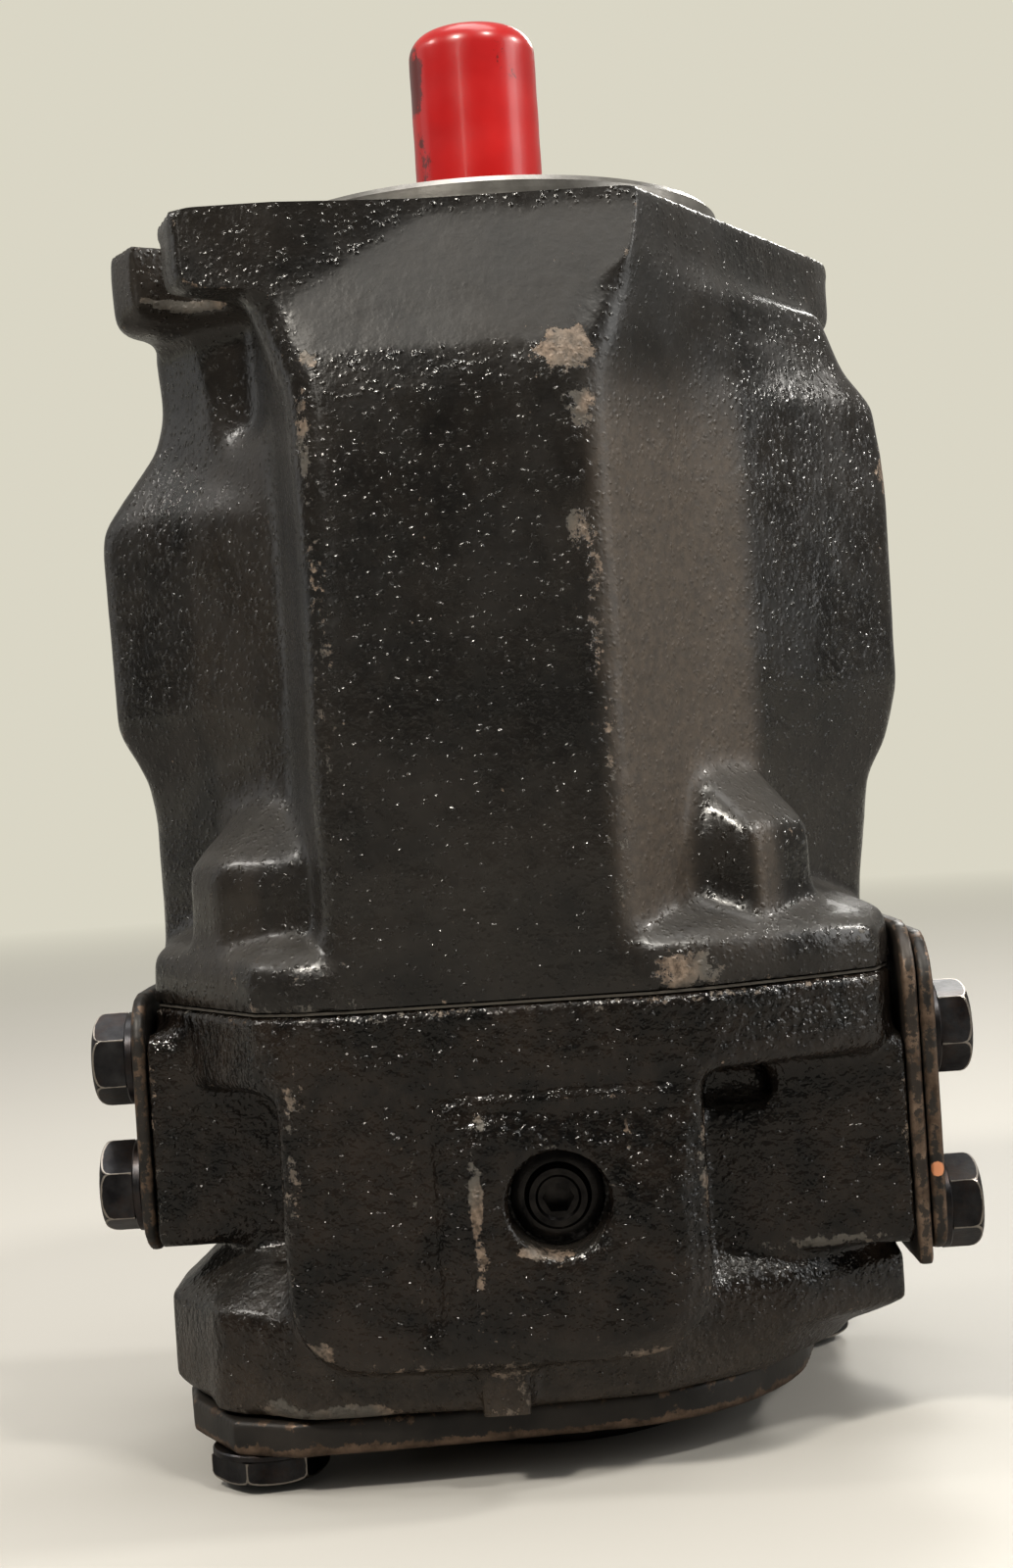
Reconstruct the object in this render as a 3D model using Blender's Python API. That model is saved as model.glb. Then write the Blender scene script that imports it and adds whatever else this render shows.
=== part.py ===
"""Variable axial piston pump with blanked ports and a capped shaft.

Built in metres with +Z up. The origin is on the shaft axis, on the plane that the pump rests on.
Every size below is in millimetres, and the mesh helpers turn it into metres.
"""
import math

import bmesh
import bpy
from mathutils import Vector

MM = 0.001
GAP = 0.3                            # room kept between faces that touch on the real pump

# Rotating group
PISTON_COUNT = 9
BORE_CIRCLE = 31.0
TILT = math.radians(15.0)            # swash angle at full stroke
BALL_CIRCLE = 2 * BORE_CIRCLE / (1 + math.cos(TILT))
PISTON_RADIUS = 7.7
BORE_CLEARANCE = 1.1                 # takes up the sideways wander of the ball circle
BALL_RADIUS = 5.2
PISTON_NECK = 3.3
PISTON_LENGTH = 62.0                 # ball centre to the lower end
CYLINDER_LENGTH = PISTON_LENGTH
SOCKET_GAP = 0.6
SLIPPER_RADIUS = 8.7
SLIPPER_FLANGE = 2.7
SLIPPER_NECK = 7.1
BALL_TO_FACE = 6.7                   # ball centre to the slipper's running face
PIVOT_RISE = PISTON_LENGTH + 27.0    # swash pivot above the parting face
BLOCK_WALL = 4.3                     # outside the piston bores
BLOCK_RADIUS = BORE_CIRCLE + PISTON_RADIUS + BLOCK_WALL
VALVE_PLATE_THICK = 4.0
GUIDE_RADIUS = 19.0                  # ball guide under the retainer plate
RETAINER_THICK = 2.1
SPRING_POCKET = 19.8                 # pocket in the cylinder block for its spring
SPRING_DEPTH = 26.0
SPRING_WIRE = 1.6
SPRING_REST = 17.0                   # spring length as fitted
SWASH_RADIUS = BLOCK_RADIUS - 0.5
SWASH_PLATE = 6.0
SWASH_HOLE = 20.5
CRADLE_RADIUS = 32.0
CRADLE_SHELL = 2.5
CRADLE_NEAR = 22.0                   # cradle runs from this X to the next one, both sides
CRADLE_FAR = 36.0
CRADLE_HALF_ANGLE = math.radians(48.0)

# Control and bias pistons, which push on the ears of the swash plate
EAR_REACH = BLOCK_RADIUS + 11.0
EAR_HALF_WIDTH = 7.0
TIP_RADIUS = 6.0
TIP_GAP = 0.5
CONTROL_ROD = 6.6
BIAS_ROD = 3.6
BIAS_COLLAR = 4.0
BIAS_WIRE = 1.2
GUIDE_FOOT = 9.8
GUIDE_FOOT_HEIGHT = 4.0

# Shaft, bearings, seal and cap
SHAFT_RADIUS = 12.4
SHAFT_REACH = 46.0                   # shaft beyond the flange face
SPLINE_TEETH = 15
SPLINE_DEPTH = 1.1
SPLINE_LENGTH = 38.0
BEARING_SEAT = 15.0
REAR_SEAT = 11.0
SEAL_SEAT = 14.6
FRONT_CUP_RADIUS = 26.5
REAR_CUP_RADIUS = 21.5
BEARING_WIDTH = 17.0
BEARING_ROOM = 2.0                   # cavity roof to the front bearing
ROLLER_COUNT = 14
SEAL_RADIUS = 21.0
SEAL_THICK = 8.0
SEAL_ROOM = 3.2                      # front bearing to the seal
SEAL_INSET = 1.0                     # seal below the flange face
RING_THICK = 1.6                     # retaining ring over the seal
CAP_RADIUS = 13.75
CAP_WALL = 0.95
CAP_TOP_ROOM = 3.4
CAP_LENGTH = 42.5
CAP_CORNER = 5.5

# Cavity
CAVITY_RADIUS = BLOCK_RADIUS + 7.0
POCKET_HALF_WIDTH = 11.5
POCKET_REACH = EAR_REACH + 11.0
CAVITY_HEIGHT = PIVOT_RISE + CRADLE_RADIUS + 3.0     # above the parting face

# Heights, from the resting plane up
BOSS_DEPTH = 8.0                     # centre boss of the through-drive cover
COVER_THICK = 7.0                    # through-drive cover plate
LIP_DEPTH = 10.0                     # lower lip of the port block
BLOCK_HEIGHT = 79.0                  # port block, from its lower face to the parting face
RIM_DEPTH = 15.5                     # rim of the port block below the parting face
GASKET_THICK = 0.5
HOUSING_HEIGHT = (CAVITY_HEIGHT + BEARING_ROOM + GAP + BEARING_WIDTH + SEAL_ROOM + SEAL_THICK
                  + SEAL_INSET)      # parting face to flange face
FLANGE_THICK = 16.0
PILOT_HEIGHT = 6.5

Z_COVER = BOSS_DEPTH
Z_BLOCK = Z_COVER + COVER_THICK + GAP
Z_PART = Z_BLOCK + BLOCK_HEIGHT
Z_HOUSING = Z_PART + GASKET_THICK + 2 * GAP
Z_FLANGE = Z_PART + HOUSING_HEIGHT
Z_FLANGE_UNDER = Z_FLANGE - FLANGE_THICK
Z_PILOT = Z_FLANGE + PILOT_HEIGHT
Z_PIVOT = Z_PART + PIVOT_RISE
Z_VALVE = Z_PART + GAP
Z_CYLINDER = Z_VALVE + VALVE_PLATE_THICK + GAP
Z_FRONT_BEARING = Z_PART + CAVITY_HEIGHT + BEARING_ROOM + GAP
Z_SEAL = Z_FLANGE - SEAL_THICK - SEAL_INSET
Z_RING = Z_SEAL + SEAL_THICK + GAP
Z_REAR_BEARING = Z_PART - 3.0 - BEARING_WIDTH

# Mounting flange, two bolts; the ears are given beyond the bolt centre and beside the bolt line
PILOT_DIAMETER = 101.6
BOLT_SPAN = 146.0
SLOT_WIDTH = 14.3
SLOT_RUN = 40.0                      # slot and relief cutters run this far past the bolt centre
FLANGE_TURN = math.radians(34.0)     # bolt line against the X axis
FLANGE_EAR = ((-3.4, -30.0), (4.0, -25.4), (7.5, -19.3), (10.3, 9.0), (13.5, 20.1), (10.8, 28.5))
FLANGE_FRONT_END = (27.0, -66.5)
RELIEF_RADIUS = 14.5
RELIEF_DEPTH = 34.0
RELIEF_SLOPE = 12.2                  # the relief runs in from the body over this height
RELIEF_RUN = 12.0

# Through-drive cover, two bolts on a line of its own
COVER_TURN = math.radians(37.0)
COVER_DISC = 55.5
COVER_FRONT_EAR = ((0.5, -30.4), (7.6, -16.9), (10.9, 5.0), (4.3, 16.2), (-11.4, 26.9))
COVER_BACK_EAR = ((-2.6, -13.0), (7.0, -11.0), (13.0, 3.0), (5.0, 17.0), (-11.4, 26.9))
COVER_BOSS_RADIUS = 33.0
FOOT_RADIUS = 11.0                   # bosses in the port block for the cover's screws
FOOT_RISE = 22.0

# Housing outline, front side; the back has the same panel turned by 180 degrees
PANEL_Y = -POCKET_REACH - 7.0
PANEL_LEFT = -38.0
PANEL_RIGHT = 19.0
INNER_Y = -45.0
INNER_LEFT = -44.5
INNER_RIGHT = 39.0
BASE_EDGE_HEIGHT = 9.0               # upright edge of the base flange above the parting face
BASE_EDGE = 2.7                      # sloped edge on top of it
BASE_RISE = 20.0                     # where the base flange meets the walls
BASE_SHRINK = 0.72

# Housing levels above the parting face: height, left and right reach, panel Y, panel spread
BODY_LEVELS = (
    (8.0, 78.3, 72.3, PANEL_Y, 0.0),
    (PIVOT_RISE - 50.3, 78.8, 76.4, PANEL_Y, 0.0),
    (PIVOT_RISE - 43.0, 79.6, 81.0, PANEL_Y, 0.0),
    (PIVOT_RISE - 31.0, 86.0, 84.3, PANEL_Y, 0.0),
    (PIVOT_RISE + 12.0, 86.8, 84.5, PANEL_Y, 0.0),
    (HOUSING_HEIGHT - 36.5, 73.2, 82.6, PANEL_Y, 0.0),
    (HOUSING_HEIGHT - 28.5, 71.7, 76.4, PANEL_Y + 2.2, 3.0),
    (HOUSING_HEIGHT - FLANGE_THICK + 1.0, 73.0, 72.0, PANEL_Y + 6.5, 8.0))

# Corner bosses on the base flange: outline, height above the parting face and run of the sloped top
LEFT_BOSS = ((-69.0, -36.0), (-61.5, -50.0), (-46.5, -59.0), (-40.0, -60.0), (-40.0, -36.0), (-58.0, -26.0))
LEFT_BOSS_HEIGHT = 42.0
LEFT_BOSS_RUN = 13.0
RIGHT_BOSS = ((32.5, -50.0), (33.0, -54.0), (45.0, -60.0), (58.0, -44.0), (50.0, -30.0), (32.0, -36.0))
RIGHT_BOSS_HEIGHT = 45.0
RIGHT_BOSS_RUN = 14.5

# Ports
PRESSURE_PITCH_Y = 52.4
PRESSURE_PITCH_Z = 26.2
PRESSURE_Z = Z_PART - 23.2
PRESSURE_BORE = 12.5
SUCTION_PITCH_Y = 69.9
SUCTION_PITCH_Z = 35.7
SUCTION_Z = Z_PART - 31.0
SUCTION_BORE = 18.5
PAD_MARGIN = 13.0                    # port pads and plates beyond the screw centres
PLATE_CORNER = 12.0
SPACER_RANGE = (-28.3, 40.0)         # suction plates below and above their port's middle
COVER_RANGE = (-26.0, 38.0)
BLOCK_LEFT = -50.5                   # front of the port block, between these X
BLOCK_RIGHT = 31.0
BLOCK_CORNER = 15.0
LEFT_FACE = -79.0
RIGHT_FACE = 73.0
FACE_STEP = 0.5                      # cast sides stay this far behind the machined port faces
PLATE_THICK = 3.0
PLUG_X = 2.2
PLUG_Z = Z_PART - 37.8
PLUG_BORE = 9.7
PLUG_RECESS = 10.0
PLUG_RADIUS = 5.6

# Screws: shank radius, hexagon across flats, head height, washer
PRESSURE_SCREW = (5.0, 16.6, 7.0, 1.6)
SUCTION_SCREW = (6.0, 16.4, 6.6, 1.4)
COVER_SCREW = (6.0, 20.5, 5.0, 1.2)
SCREW_GRIP = 16.0

ROUND = 28                           # sides of a turned piece, and of a small one
SMALL_ROUND = 12


def clear_scene():
    for obj in list(bpy.data.objects):
        bpy.data.objects.remove(obj, do_unlink=True)


def make_material(name, colour, roughness, metallic):
    mat = bpy.data.materials.new(name)
    mat.use_nodes = True
    shader = mat.node_tree.nodes["Principled BSDF"]
    shader.inputs["Base Color"].default_value = (*colour, 1.0)
    shader.inputs["Roughness"].default_value = roughness
    shader.inputs["Metallic"].default_value = metallic
    return mat


def arc(radius, start, end, steps, centre=(0.0, 0.0)):
    """Points on an arc, both ends included; angles in radians."""
    points = []
    for i in range(steps + 1):
        angle = start + (end - start) * i / steps
        points.append((centre[0] + radius * math.cos(angle), centre[1] + radius * math.sin(angle)))
    return points


def circle(radius, steps=ROUND, centre=(0.0, 0.0)):
    return arc(radius, 0.0, 2 * math.pi, steps, centre)[:-1]


def turned(points):
    """The same points turned half a revolution about the shaft axis."""
    return [(-x, -y) for x, y in points]


def rounded_rectangle(left, right, low, high, radii, steps=3):
    """Outline with one corner radius each, from the lower left corner counter-clockwise."""
    corners = ((left, low, 1, 1, math.pi), (right, low, -1, 1, 1.5 * math.pi),
               (right, high, -1, -1, 0.0), (left, high, 1, -1, 0.5 * math.pi))
    outline = []
    for (u, v, su, sv, start), radius in zip(corners, radii):
        if radius <= 0:
            outline.append((u, v))
            continue
        centre = (u + su * radius, v + sv * radius)
        outline += arc(radius, start, start + math.pi / 2, steps, centre)
    return outline


def place(axis, u, v, w):
    """A point from outline coordinates u, v and the distance w along the axis."""
    if axis == "X":
        return Vector((w, u, v)) * MM
    if axis == "Y":
        return Vector((u, w, v)) * MM
    return Vector((u, v, w)) * MM


def loft(levels, axis="Z"):
    """Closed skin through outlines with equal point counts, as (distance, outline) pairs."""
    bm = bmesh.new()
    rings = [[bm.verts.new(place(axis, u, v, w)) for u, v in outline] for w, outline in levels]
    for low, high in zip(rings, rings[1:]):
        for i in range(len(low)):
            j = (i + 1) % len(low)
            bm.faces.new((low[i], low[j], high[j], high[i]))
    bm.faces.new(list(reversed(rings[0])))
    bm.faces.new(rings[-1])
    bmesh.ops.recalc_face_normals(bm, faces=bm.faces)
    split_bent_faces(bm)
    return bm


def split_bent_faces(bm, tolerance=1e-6):
    """Cut faces that aren't flat into triangles, so that a Boolean meets flat faces only."""
    bent = []
    for face in bm.faces:
        origin = face.verts[0].co
        if any(abs((vert.co - origin).dot(face.normal)) > tolerance for vert in face.verts):
            bent.append(face)
    bmesh.ops.triangulate(bm, faces=bent)


def prism(outline, low, high, axis="Z"):
    return loft([(low, outline), (high, outline)], axis)


def revolve(profile, steps=ROUND, centre=(0.0, 0.0), axis="Z", turn=0.0):
    """Solid turned from (radius, height) points; a profile that leaves the axis makes a ring."""
    bm = bmesh.new()
    solid = profile[0][0] == 0 and profile[-1][0] == 0
    rings = []
    for radius, height in profile:
        if radius == 0:
            rings.append([bm.verts.new(place(axis, centre[0], centre[1], height))])
        else:
            ring = circle(radius, steps)
            if turn:
                ring = [(x * math.cos(turn) - y * math.sin(turn), x * math.sin(turn) + y * math.cos(turn))
                        for x, y in ring]
            rings.append([bm.verts.new(place(axis, centre[0] + x, centre[1] + y, height)) for x, y in ring])
    pairs = list(zip(rings, rings[1:]))
    if not solid:
        pairs.append((rings[-1], rings[0]))
    for low, high in pairs:
        for i in range(steps):
            j = (i + 1) % steps
            if len(low) == 1:
                bm.faces.new((low[0], high[j], high[i]))
            elif len(high) == 1:
                bm.faces.new((low[i], low[j], high[0]))
            else:
                bm.faces.new((low[i], low[j], high[j], high[i]))
    bmesh.ops.recalc_face_normals(bm, faces=bm.faces)
    return bm


def make_object(name, bm, mat=None, sharp=math.radians(32.0)):
    mesh = bpy.data.meshes.new(name)
    bm.to_mesh(mesh)
    bm.free()
    mesh.shade_smooth()
    mesh.set_sharp_from_angle(angle=sharp)
    obj = bpy.data.objects.new(name, mesh)
    bpy.context.scene.collection.objects.link(obj)
    if mat:
        mesh.materials.append(mat)
    return obj


def make_tool(name, bm):
    """A helper shape that is joined to a piece or cut out of it."""
    tool = make_object(name, bm)
    tool.hide_render = True
    tool.display_type = "WIRE"
    return tool


def boolean(obj, tool, operation):
    mod = obj.modifiers.new(operation.title(), "BOOLEAN")
    mod.operation = operation
    mod.solver = "EXACT"
    mod.object = tool


def add(obj, name, bm):
    boolean(obj, make_tool(name, bm), "UNION")


def cut(obj, name, bm):
    boolean(obj, make_tool(name, bm), "DIFFERENCE")


def make_pivot(name, location, parent=None, tilt=0.0):
    """An empty on a joint's axis that carries the moving pieces."""
    pivot = bpy.data.objects.new(name, None)
    bpy.context.scene.collection.objects.link(pivot)
    pivot.parent = parent
    pivot.location = Vector(location) * MM
    pivot.rotation_euler = (tilt, 0.0, 0.0)
    return pivot


def hang(obj, pivot):
    obj.parent = pivot
    return obj


def line_point(turn, reach, side=0.0):
    """A point at a reach along a bolt line, front left end, and beside that line."""
    along = Vector((-math.cos(turn), -math.sin(turn)))
    across = Vector((math.sin(turn), -math.cos(turn)))
    point = along * reach + across * side
    return point.x, point.y


def flange_point(reach, side=0.0):
    return line_point(FLANGE_TURN, reach, side)


def cover_point(reach, side=0.0):
    return line_point(COVER_TURN, reach, side)


def scaled(points, factor):
    return [(x * factor, y * factor) for x, y in points]


def within_faces(outline):
    """Keep an outline inside the planes of the two port faces."""
    return [(min(max(x, LEFT_FACE + FACE_STEP), RIGHT_FACE - FACE_STEP), y) for x, y in outline]


def rim_outline(grow=0.0):
    """Outline shared by the housing's base flange and the port block's rim."""
    half = [(-83.0 - grow, -9.0), (-80.0 - grow, -26.0), (-54.0, -66.0 - grow), (-46.0, -70.5 - grow),
            (-34.0, PANEL_Y - grow), (22.0, PANEL_Y - grow), (34.0, -69.0 - grow), (57.0, -58.0 - grow),
            (68.5 + grow, -51.0 - grow), (75.0 + grow, -40.0)]
    return within_faces(half + turned(half))


def body_half(left, right, panel_y, spread):
    return [(-left, -8.0),
            (INNER_LEFT - 0.4 * spread, INNER_Y),
            (PANEL_LEFT - spread - 1.5, panel_y + 4.0),
            (PANEL_LEFT - spread + 2.5, panel_y),
            (PANEL_RIGHT + spread - 3.0, panel_y),
            (PANEL_RIGHT + spread + 1.5, panel_y + 2.5),
            (INNER_RIGHT + 0.3 * spread, INNER_Y),
            (right, -3.0)]


def body_level(height, left, right, panel_y, spread):
    """One level of the housing's outline; spread moves the panel edges out towards the flange."""
    outline = body_half(left, right, panel_y, spread) + turned(body_half(right, left, panel_y, spread))
    return Z_PART + height, outline


def flange_outline():
    ear = [flange_point(BOLT_SPAN / 2 + beyond, beside) for beyond, beside in FLANGE_EAR]
    half = ear + [FLANGE_FRONT_END]
    return half + turned(half)


def slot_outline(half_width, reach, steps):
    """Outline of a slot that opens outwards along the flange's bolt line."""
    facing = FLANGE_TURN + math.pi
    far = BOLT_SPAN / 2 + SLOT_RUN
    return (arc(half_width, facing + math.pi / 2, facing + 1.5 * math.pi, steps, flange_point(reach))
            + [flange_point(far, -half_width), flange_point(far, half_width)])


def corner_boss(points, height, run):
    """A corner boss on the base flange whose top slopes up towards the body."""
    top = Z_PART + height
    low = Z_PART + BASE_EDGE_HEIGHT - 1.5
    centre = Vector((sum(p[0] for p in points) / len(points), sum(p[1] for p in points) / len(points)))
    inward = -centre.normalized() * run
    shrunk = [(x * 0.97 + inward.x, y * 0.97 + inward.y) for x, y in points]
    return loft([(low, points), (top - run, points), (top, shrunk)])


def kidney(radius, half_width, start, end, steps=8):
    outer = arc(radius + half_width, start, end, steps)
    inner = arc(radius - half_width, end, start, steps)
    return outer + inner


def make_housing(mat):
    body = make_object("pump_housing", loft([body_level(*level) for level in BODY_LEVELS]), mat)
    edge = Z_PART + BASE_EDGE_HEIGHT
    add(body, "housing_base", loft([
        (Z_HOUSING, rim_outline()), (edge, rim_outline()), (edge + BASE_EDGE, rim_outline(-BASE_EDGE)),
        (Z_PART + BASE_RISE, scaled(rim_outline(), BASE_SHRINK))]))
    add(body, "housing_flange", prism(flange_outline(), Z_FLANGE_UNDER, Z_FLANGE))
    pilot = PILOT_DIAMETER / 2
    add(body, "housing_pilot", revolve([(0, Z_FLANGE - 4.0), (pilot, Z_FLANGE - 4.0), (pilot, Z_PILOT - 1.0),
                                        (pilot - 1.0, Z_PILOT), (0, Z_PILOT)], 48))
    for end, turn in (("front", list), ("back", turned)):
        add(body, f"boss_left_{end}", corner_boss(turn(LEFT_BOSS), LEFT_BOSS_HEIGHT, LEFT_BOSS_RUN))
        add(body, f"boss_right_{end}", corner_boss(turn(RIGHT_BOSS), RIGHT_BOSS_HEIGHT, RIGHT_BOSS_RUN))
    roof = Z_PART + CAVITY_HEIGHT
    cut(body, "cavity", revolve([(0, Z_PART - 5.0), (CAVITY_RADIUS, Z_PART - 5.0),
                                 (CAVITY_RADIUS, roof - 12.0), (CAVITY_RADIUS - 12.0, roof), (0, roof)]))
    cut(body, "piston_pockets", prism(rounded_rectangle(
        -POCKET_HALF_WIDTH, POCKET_HALF_WIDTH, -POCKET_REACH, POCKET_REACH, (5.0, 5.0, 5.0, 5.0), 2),
        Z_PART - 5.0, roof - 1.0))
    seat_radius = CRADLE_RADIUS + CRADLE_SHELL + 2 * GAP
    half_width = seat_radius * math.sin(CRADLE_HALF_ANGLE)
    seat = arc(seat_radius, math.pi / 2 - CRADLE_HALF_ANGLE, math.pi / 2 + CRADLE_HALF_ANGLE, 10,
               (0.0, Z_PIVOT))
    saddle = seat + [(-half_width, roof + 4.0), (half_width, roof + 4.0)]
    for side, sign in (("left", -1), ("right", 1)):
        ends = sorted((sign * (CRADLE_NEAR - 1.0), sign * (CRADLE_FAR + 1.0)))
        add(body, f"saddle_{side}", prism(saddle, ends[0], ends[1], "X"))
    bolt = BOLT_SPAN / 2
    low = Z_FLANGE_UNDER - RELIEF_DEPTH
    for end, turn in (("front", list), ("back", turned)):
        cut(body, f"slot_{end}", prism(turn(slot_outline(SLOT_WIDTH / 2, bolt, 8)), Z_FLANGE_UNDER - 5.0,
                                       Z_FLANGE + 5.0))
        cut(body, f"relief_{end}", loft([
            (low, turn(slot_outline(RELIEF_RADIUS, bolt + RELIEF_RUN, 10))),
            (low + RELIEF_SLOPE, turn(slot_outline(RELIEF_RADIUS, bolt, 10))),
            (Z_FLANGE_UNDER + 1.5, turn(slot_outline(RELIEF_RADIUS, bolt, 10)))]))
    cup = FRONT_CUP_RADIUS + GAP
    cup_end = Z_FRONT_BEARING + BEARING_WIDTH + GAP
    seal = SEAL_RADIUS + GAP
    groove = SEAL_RADIUS + 1.5
    groove_end = Z_RING + RING_THICK + GAP
    step = roof + BEARING_ROOM
    cut(body, "bearing_and_seal_bore", revolve([
        (0, roof - 5.0), (SWASH_HOLE, roof - 5.0), (SWASH_HOLE, step), (cup, step), (cup, cup_end),
        (seal, cup_end), (seal, Z_RING - GAP), (groove, Z_RING - GAP), (groove, groove_end),
        (seal, groove_end), (seal, Z_PILOT + 2.0), (0, Z_PILOT + 2.0)]))
    return body


def port_pad(pitch_y, low, high):
    return rounded_rectangle(-pitch_y / 2 - PAD_MARGIN, pitch_y / 2 + PAD_MARGIN, low, high, (3.0,) * 4, 2)


def lip_levels():
    """Lower lip of the port block: a chamfered foot, an upright face and a slope up to the walls."""
    left = [(-83.0, -8.0), (-83.0, -28.0), (-66.0, -52.0), (-50.0, -63.0), (-12.0, -63.5), (20.0, -59.5)]
    foot = left + [(44.0, -45.0), (61.0, -20.0)]
    edge = left + [(48.0, -48.0), (75.0, -33.0)]
    outer = within_faces(edge + turned(edge))
    return [(Z_BLOCK, scaled(within_faces(foot + turned(foot)), 0.97)),
            (Z_BLOCK + 3.0, within_faces(foot + turned(foot))),
            (Z_BLOCK + LIP_DEPTH, outer), (Z_BLOCK + 2 * LIP_DEPTH, outer),
            (Z_BLOCK + 2 * LIP_DEPTH + 9.0, scaled(outer, 0.86))]


def make_port_block(mat):
    top = Z_PART
    rim = [(top - RIM_DEPTH, rim_outline(-1.5)), (top - RIM_DEPTH + 1.5, rim_outline()), (top, rim_outline())]
    block = make_object("port_block", loft(rim), mat)
    front = rounded_rectangle(BLOCK_LEFT, BLOCK_RIGHT, Z_BLOCK + LIP_DEPTH, top - 4.0,
                              (BLOCK_CORNER, BLOCK_CORNER, 0, 0), 4)
    add(block, "front_block", prism(front, PANEL_Y + 1.8, 0.5, "Y"))
    add(block, "back_block", prism([(-x, z) for x, z in reversed(front)], -0.5, -PANEL_Y - 1.8, "Y"))
    pad = rounded_rectangle(-19.0, 26.5, Z_BLOCK + LIP_DEPTH + 4.0, top - 18.0, (10.0, 10.0, 4.0, 4.0), 3)
    add(block, "front_pad", prism(pad, PANEL_Y - 0.8, PANEL_Y + 6.0, "Y"))
    add(block, "pressure_boss", prism(port_pad(PRESSURE_PITCH_Y, PRESSURE_Z - 25.0, PRESSURE_Z + 19.0),
                                      LEFT_FACE, 1.2, "X"))
    add(block, "suction_boss", prism(port_pad(SUCTION_PITCH_Y, SUCTION_Z - 24.0, SUCTION_Z + 18.5),
                                     -1.2, RIGHT_FACE, "X"))
    add(block, "lower_lip", loft(lip_levels()))
    add(block, "front_rib", prism([(-15.0, -66.5), (-5.0, -66.5), (-5.0, -50.0), (-15.0, -50.0)],
                                  Z_BLOCK + 1.0, Z_BLOCK + LIP_DEPTH + 8.0))
    for end, side in (("front", 1), ("back", -1)):
        centre = cover_point(side * BOLT_SPAN / 2)
        foot = Z_BLOCK + FOOT_RISE
        add(block, f"cover_boss_{end}", revolve([(0, Z_BLOCK), (FOOT_RADIUS, Z_BLOCK), (FOOT_RADIUS, foot),
                                                 (0, foot)], 20, centre))
        hole = COVER_SCREW[0] + GAP
        low = Z_BLOCK - 2.0
        bottom = Z_BLOCK + SCREW_GRIP
        cut(block, f"cover_screw_hole_{end}", revolve([(0, low), (hole, low), (hole, bottom), (0, bottom + 2.0)],
                                                      SMALL_ROUND, centre))
    right_pocket = rounded_rectangle(BLOCK_RIGHT + 1.0, BLOCK_RIGHT + 15.0, top - 24.8, top - 16.8,
                                     (1.5,) * 4, 1)
    cut(block, "cast_pocket_right", prism(right_pocket, -52.0, -43.0, "Y"))
    left_pocket = rounded_rectangle(BLOCK_LEFT - 4.5, BLOCK_LEFT - 0.7, top - 51.8, top - 44.8, (1.2,) * 4, 1)
    cut(block, "cast_pocket_left", prism(left_pocket, -62.0, -42.0, "Y"))
    narrow = REAR_CUP_RADIUS - 4.0
    cup = REAR_CUP_RADIUS + GAP
    seat = Z_REAR_BEARING - GAP
    cut(block, "rear_bearing_bore", revolve([(0, Z_BLOCK - 2.0), (narrow, Z_BLOCK - 2.0), (narrow, seat),
                                             (cup, seat), (cup, Z_PART + 2.0), (0, Z_PART + 2.0)]))
    for side, middle, floor in (("pressure", math.pi, PRESSURE_Z), ("suction", 0.0, SUCTION_Z)):
        slot = kidney(BORE_CIRCLE, 4.5, middle - math.radians(58.0), middle + math.radians(58.0))
        cut(block, f"{side}_kidney", prism(slot, floor, Z_PART + 2.0))
    cut(block, "pressure_bore", revolve([(0, LEFT_FACE - 2.0), (PRESSURE_BORE, LEFT_FACE - 2.0),
                                         (PRESSURE_BORE, -32.0), (0, -27.0)], 20, (0.0, PRESSURE_Z), "X"))
    cut(block, "suction_bore", revolve([(0, RIGHT_FACE + 2.0), (SUCTION_BORE, RIGHT_FACE + 2.0),
                                        (SUCTION_BORE, 33.0), (0, 27.0)], 24, (0.0, SUCTION_Z), "X"))
    floor = PANEL_Y + PLUG_RECESS
    thread = PLUG_RADIUS + GAP
    cut(block, "plug_recess", revolve([(0, PANEL_Y - 4.0), (PLUG_BORE, PANEL_Y - 4.0), (PLUG_BORE, floor),
                                       (thread, floor), (thread, floor + 14.0), (0, floor + 16.0)],
                                      24, (PLUG_X, PLUG_Z), "Y"))
    for name, y, z in screw_places(PRESSURE_PITCH_Y, PRESSURE_PITCH_Z, PRESSURE_Z):
        cut(block, f"pressure_hole_{name}", revolve([
            (0, LEFT_FACE - 2.0), (PRESSURE_SCREW[0] + GAP, LEFT_FACE - 2.0),
            (PRESSURE_SCREW[0] + GAP, LEFT_FACE + SCREW_GRIP), (0, LEFT_FACE + SCREW_GRIP + 2.0)],
            SMALL_ROUND, (y, z), "X"))
    for name, y, z in screw_places(SUCTION_PITCH_Y, SUCTION_PITCH_Z, SUCTION_Z):
        cut(block, f"suction_hole_{name}", revolve([
            (0, RIGHT_FACE + 2.0), (SUCTION_SCREW[0] + GAP, RIGHT_FACE + 2.0),
            (SUCTION_SCREW[0] + GAP, RIGHT_FACE - SCREW_GRIP), (0, RIGHT_FACE - SCREW_GRIP - 2.0)],
            SMALL_ROUND, (y, z), "X"))
    return block


def screw_places(pitch_y, pitch_z, middle):
    places = []
    for end, sy in (("front", -1), ("back", 1)):
        for level, sz in (("low", -1), ("high", 1)):
            places.append((f"{end}_{level}", sy * pitch_y / 2, middle + sz * pitch_z / 2))
    return places


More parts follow.
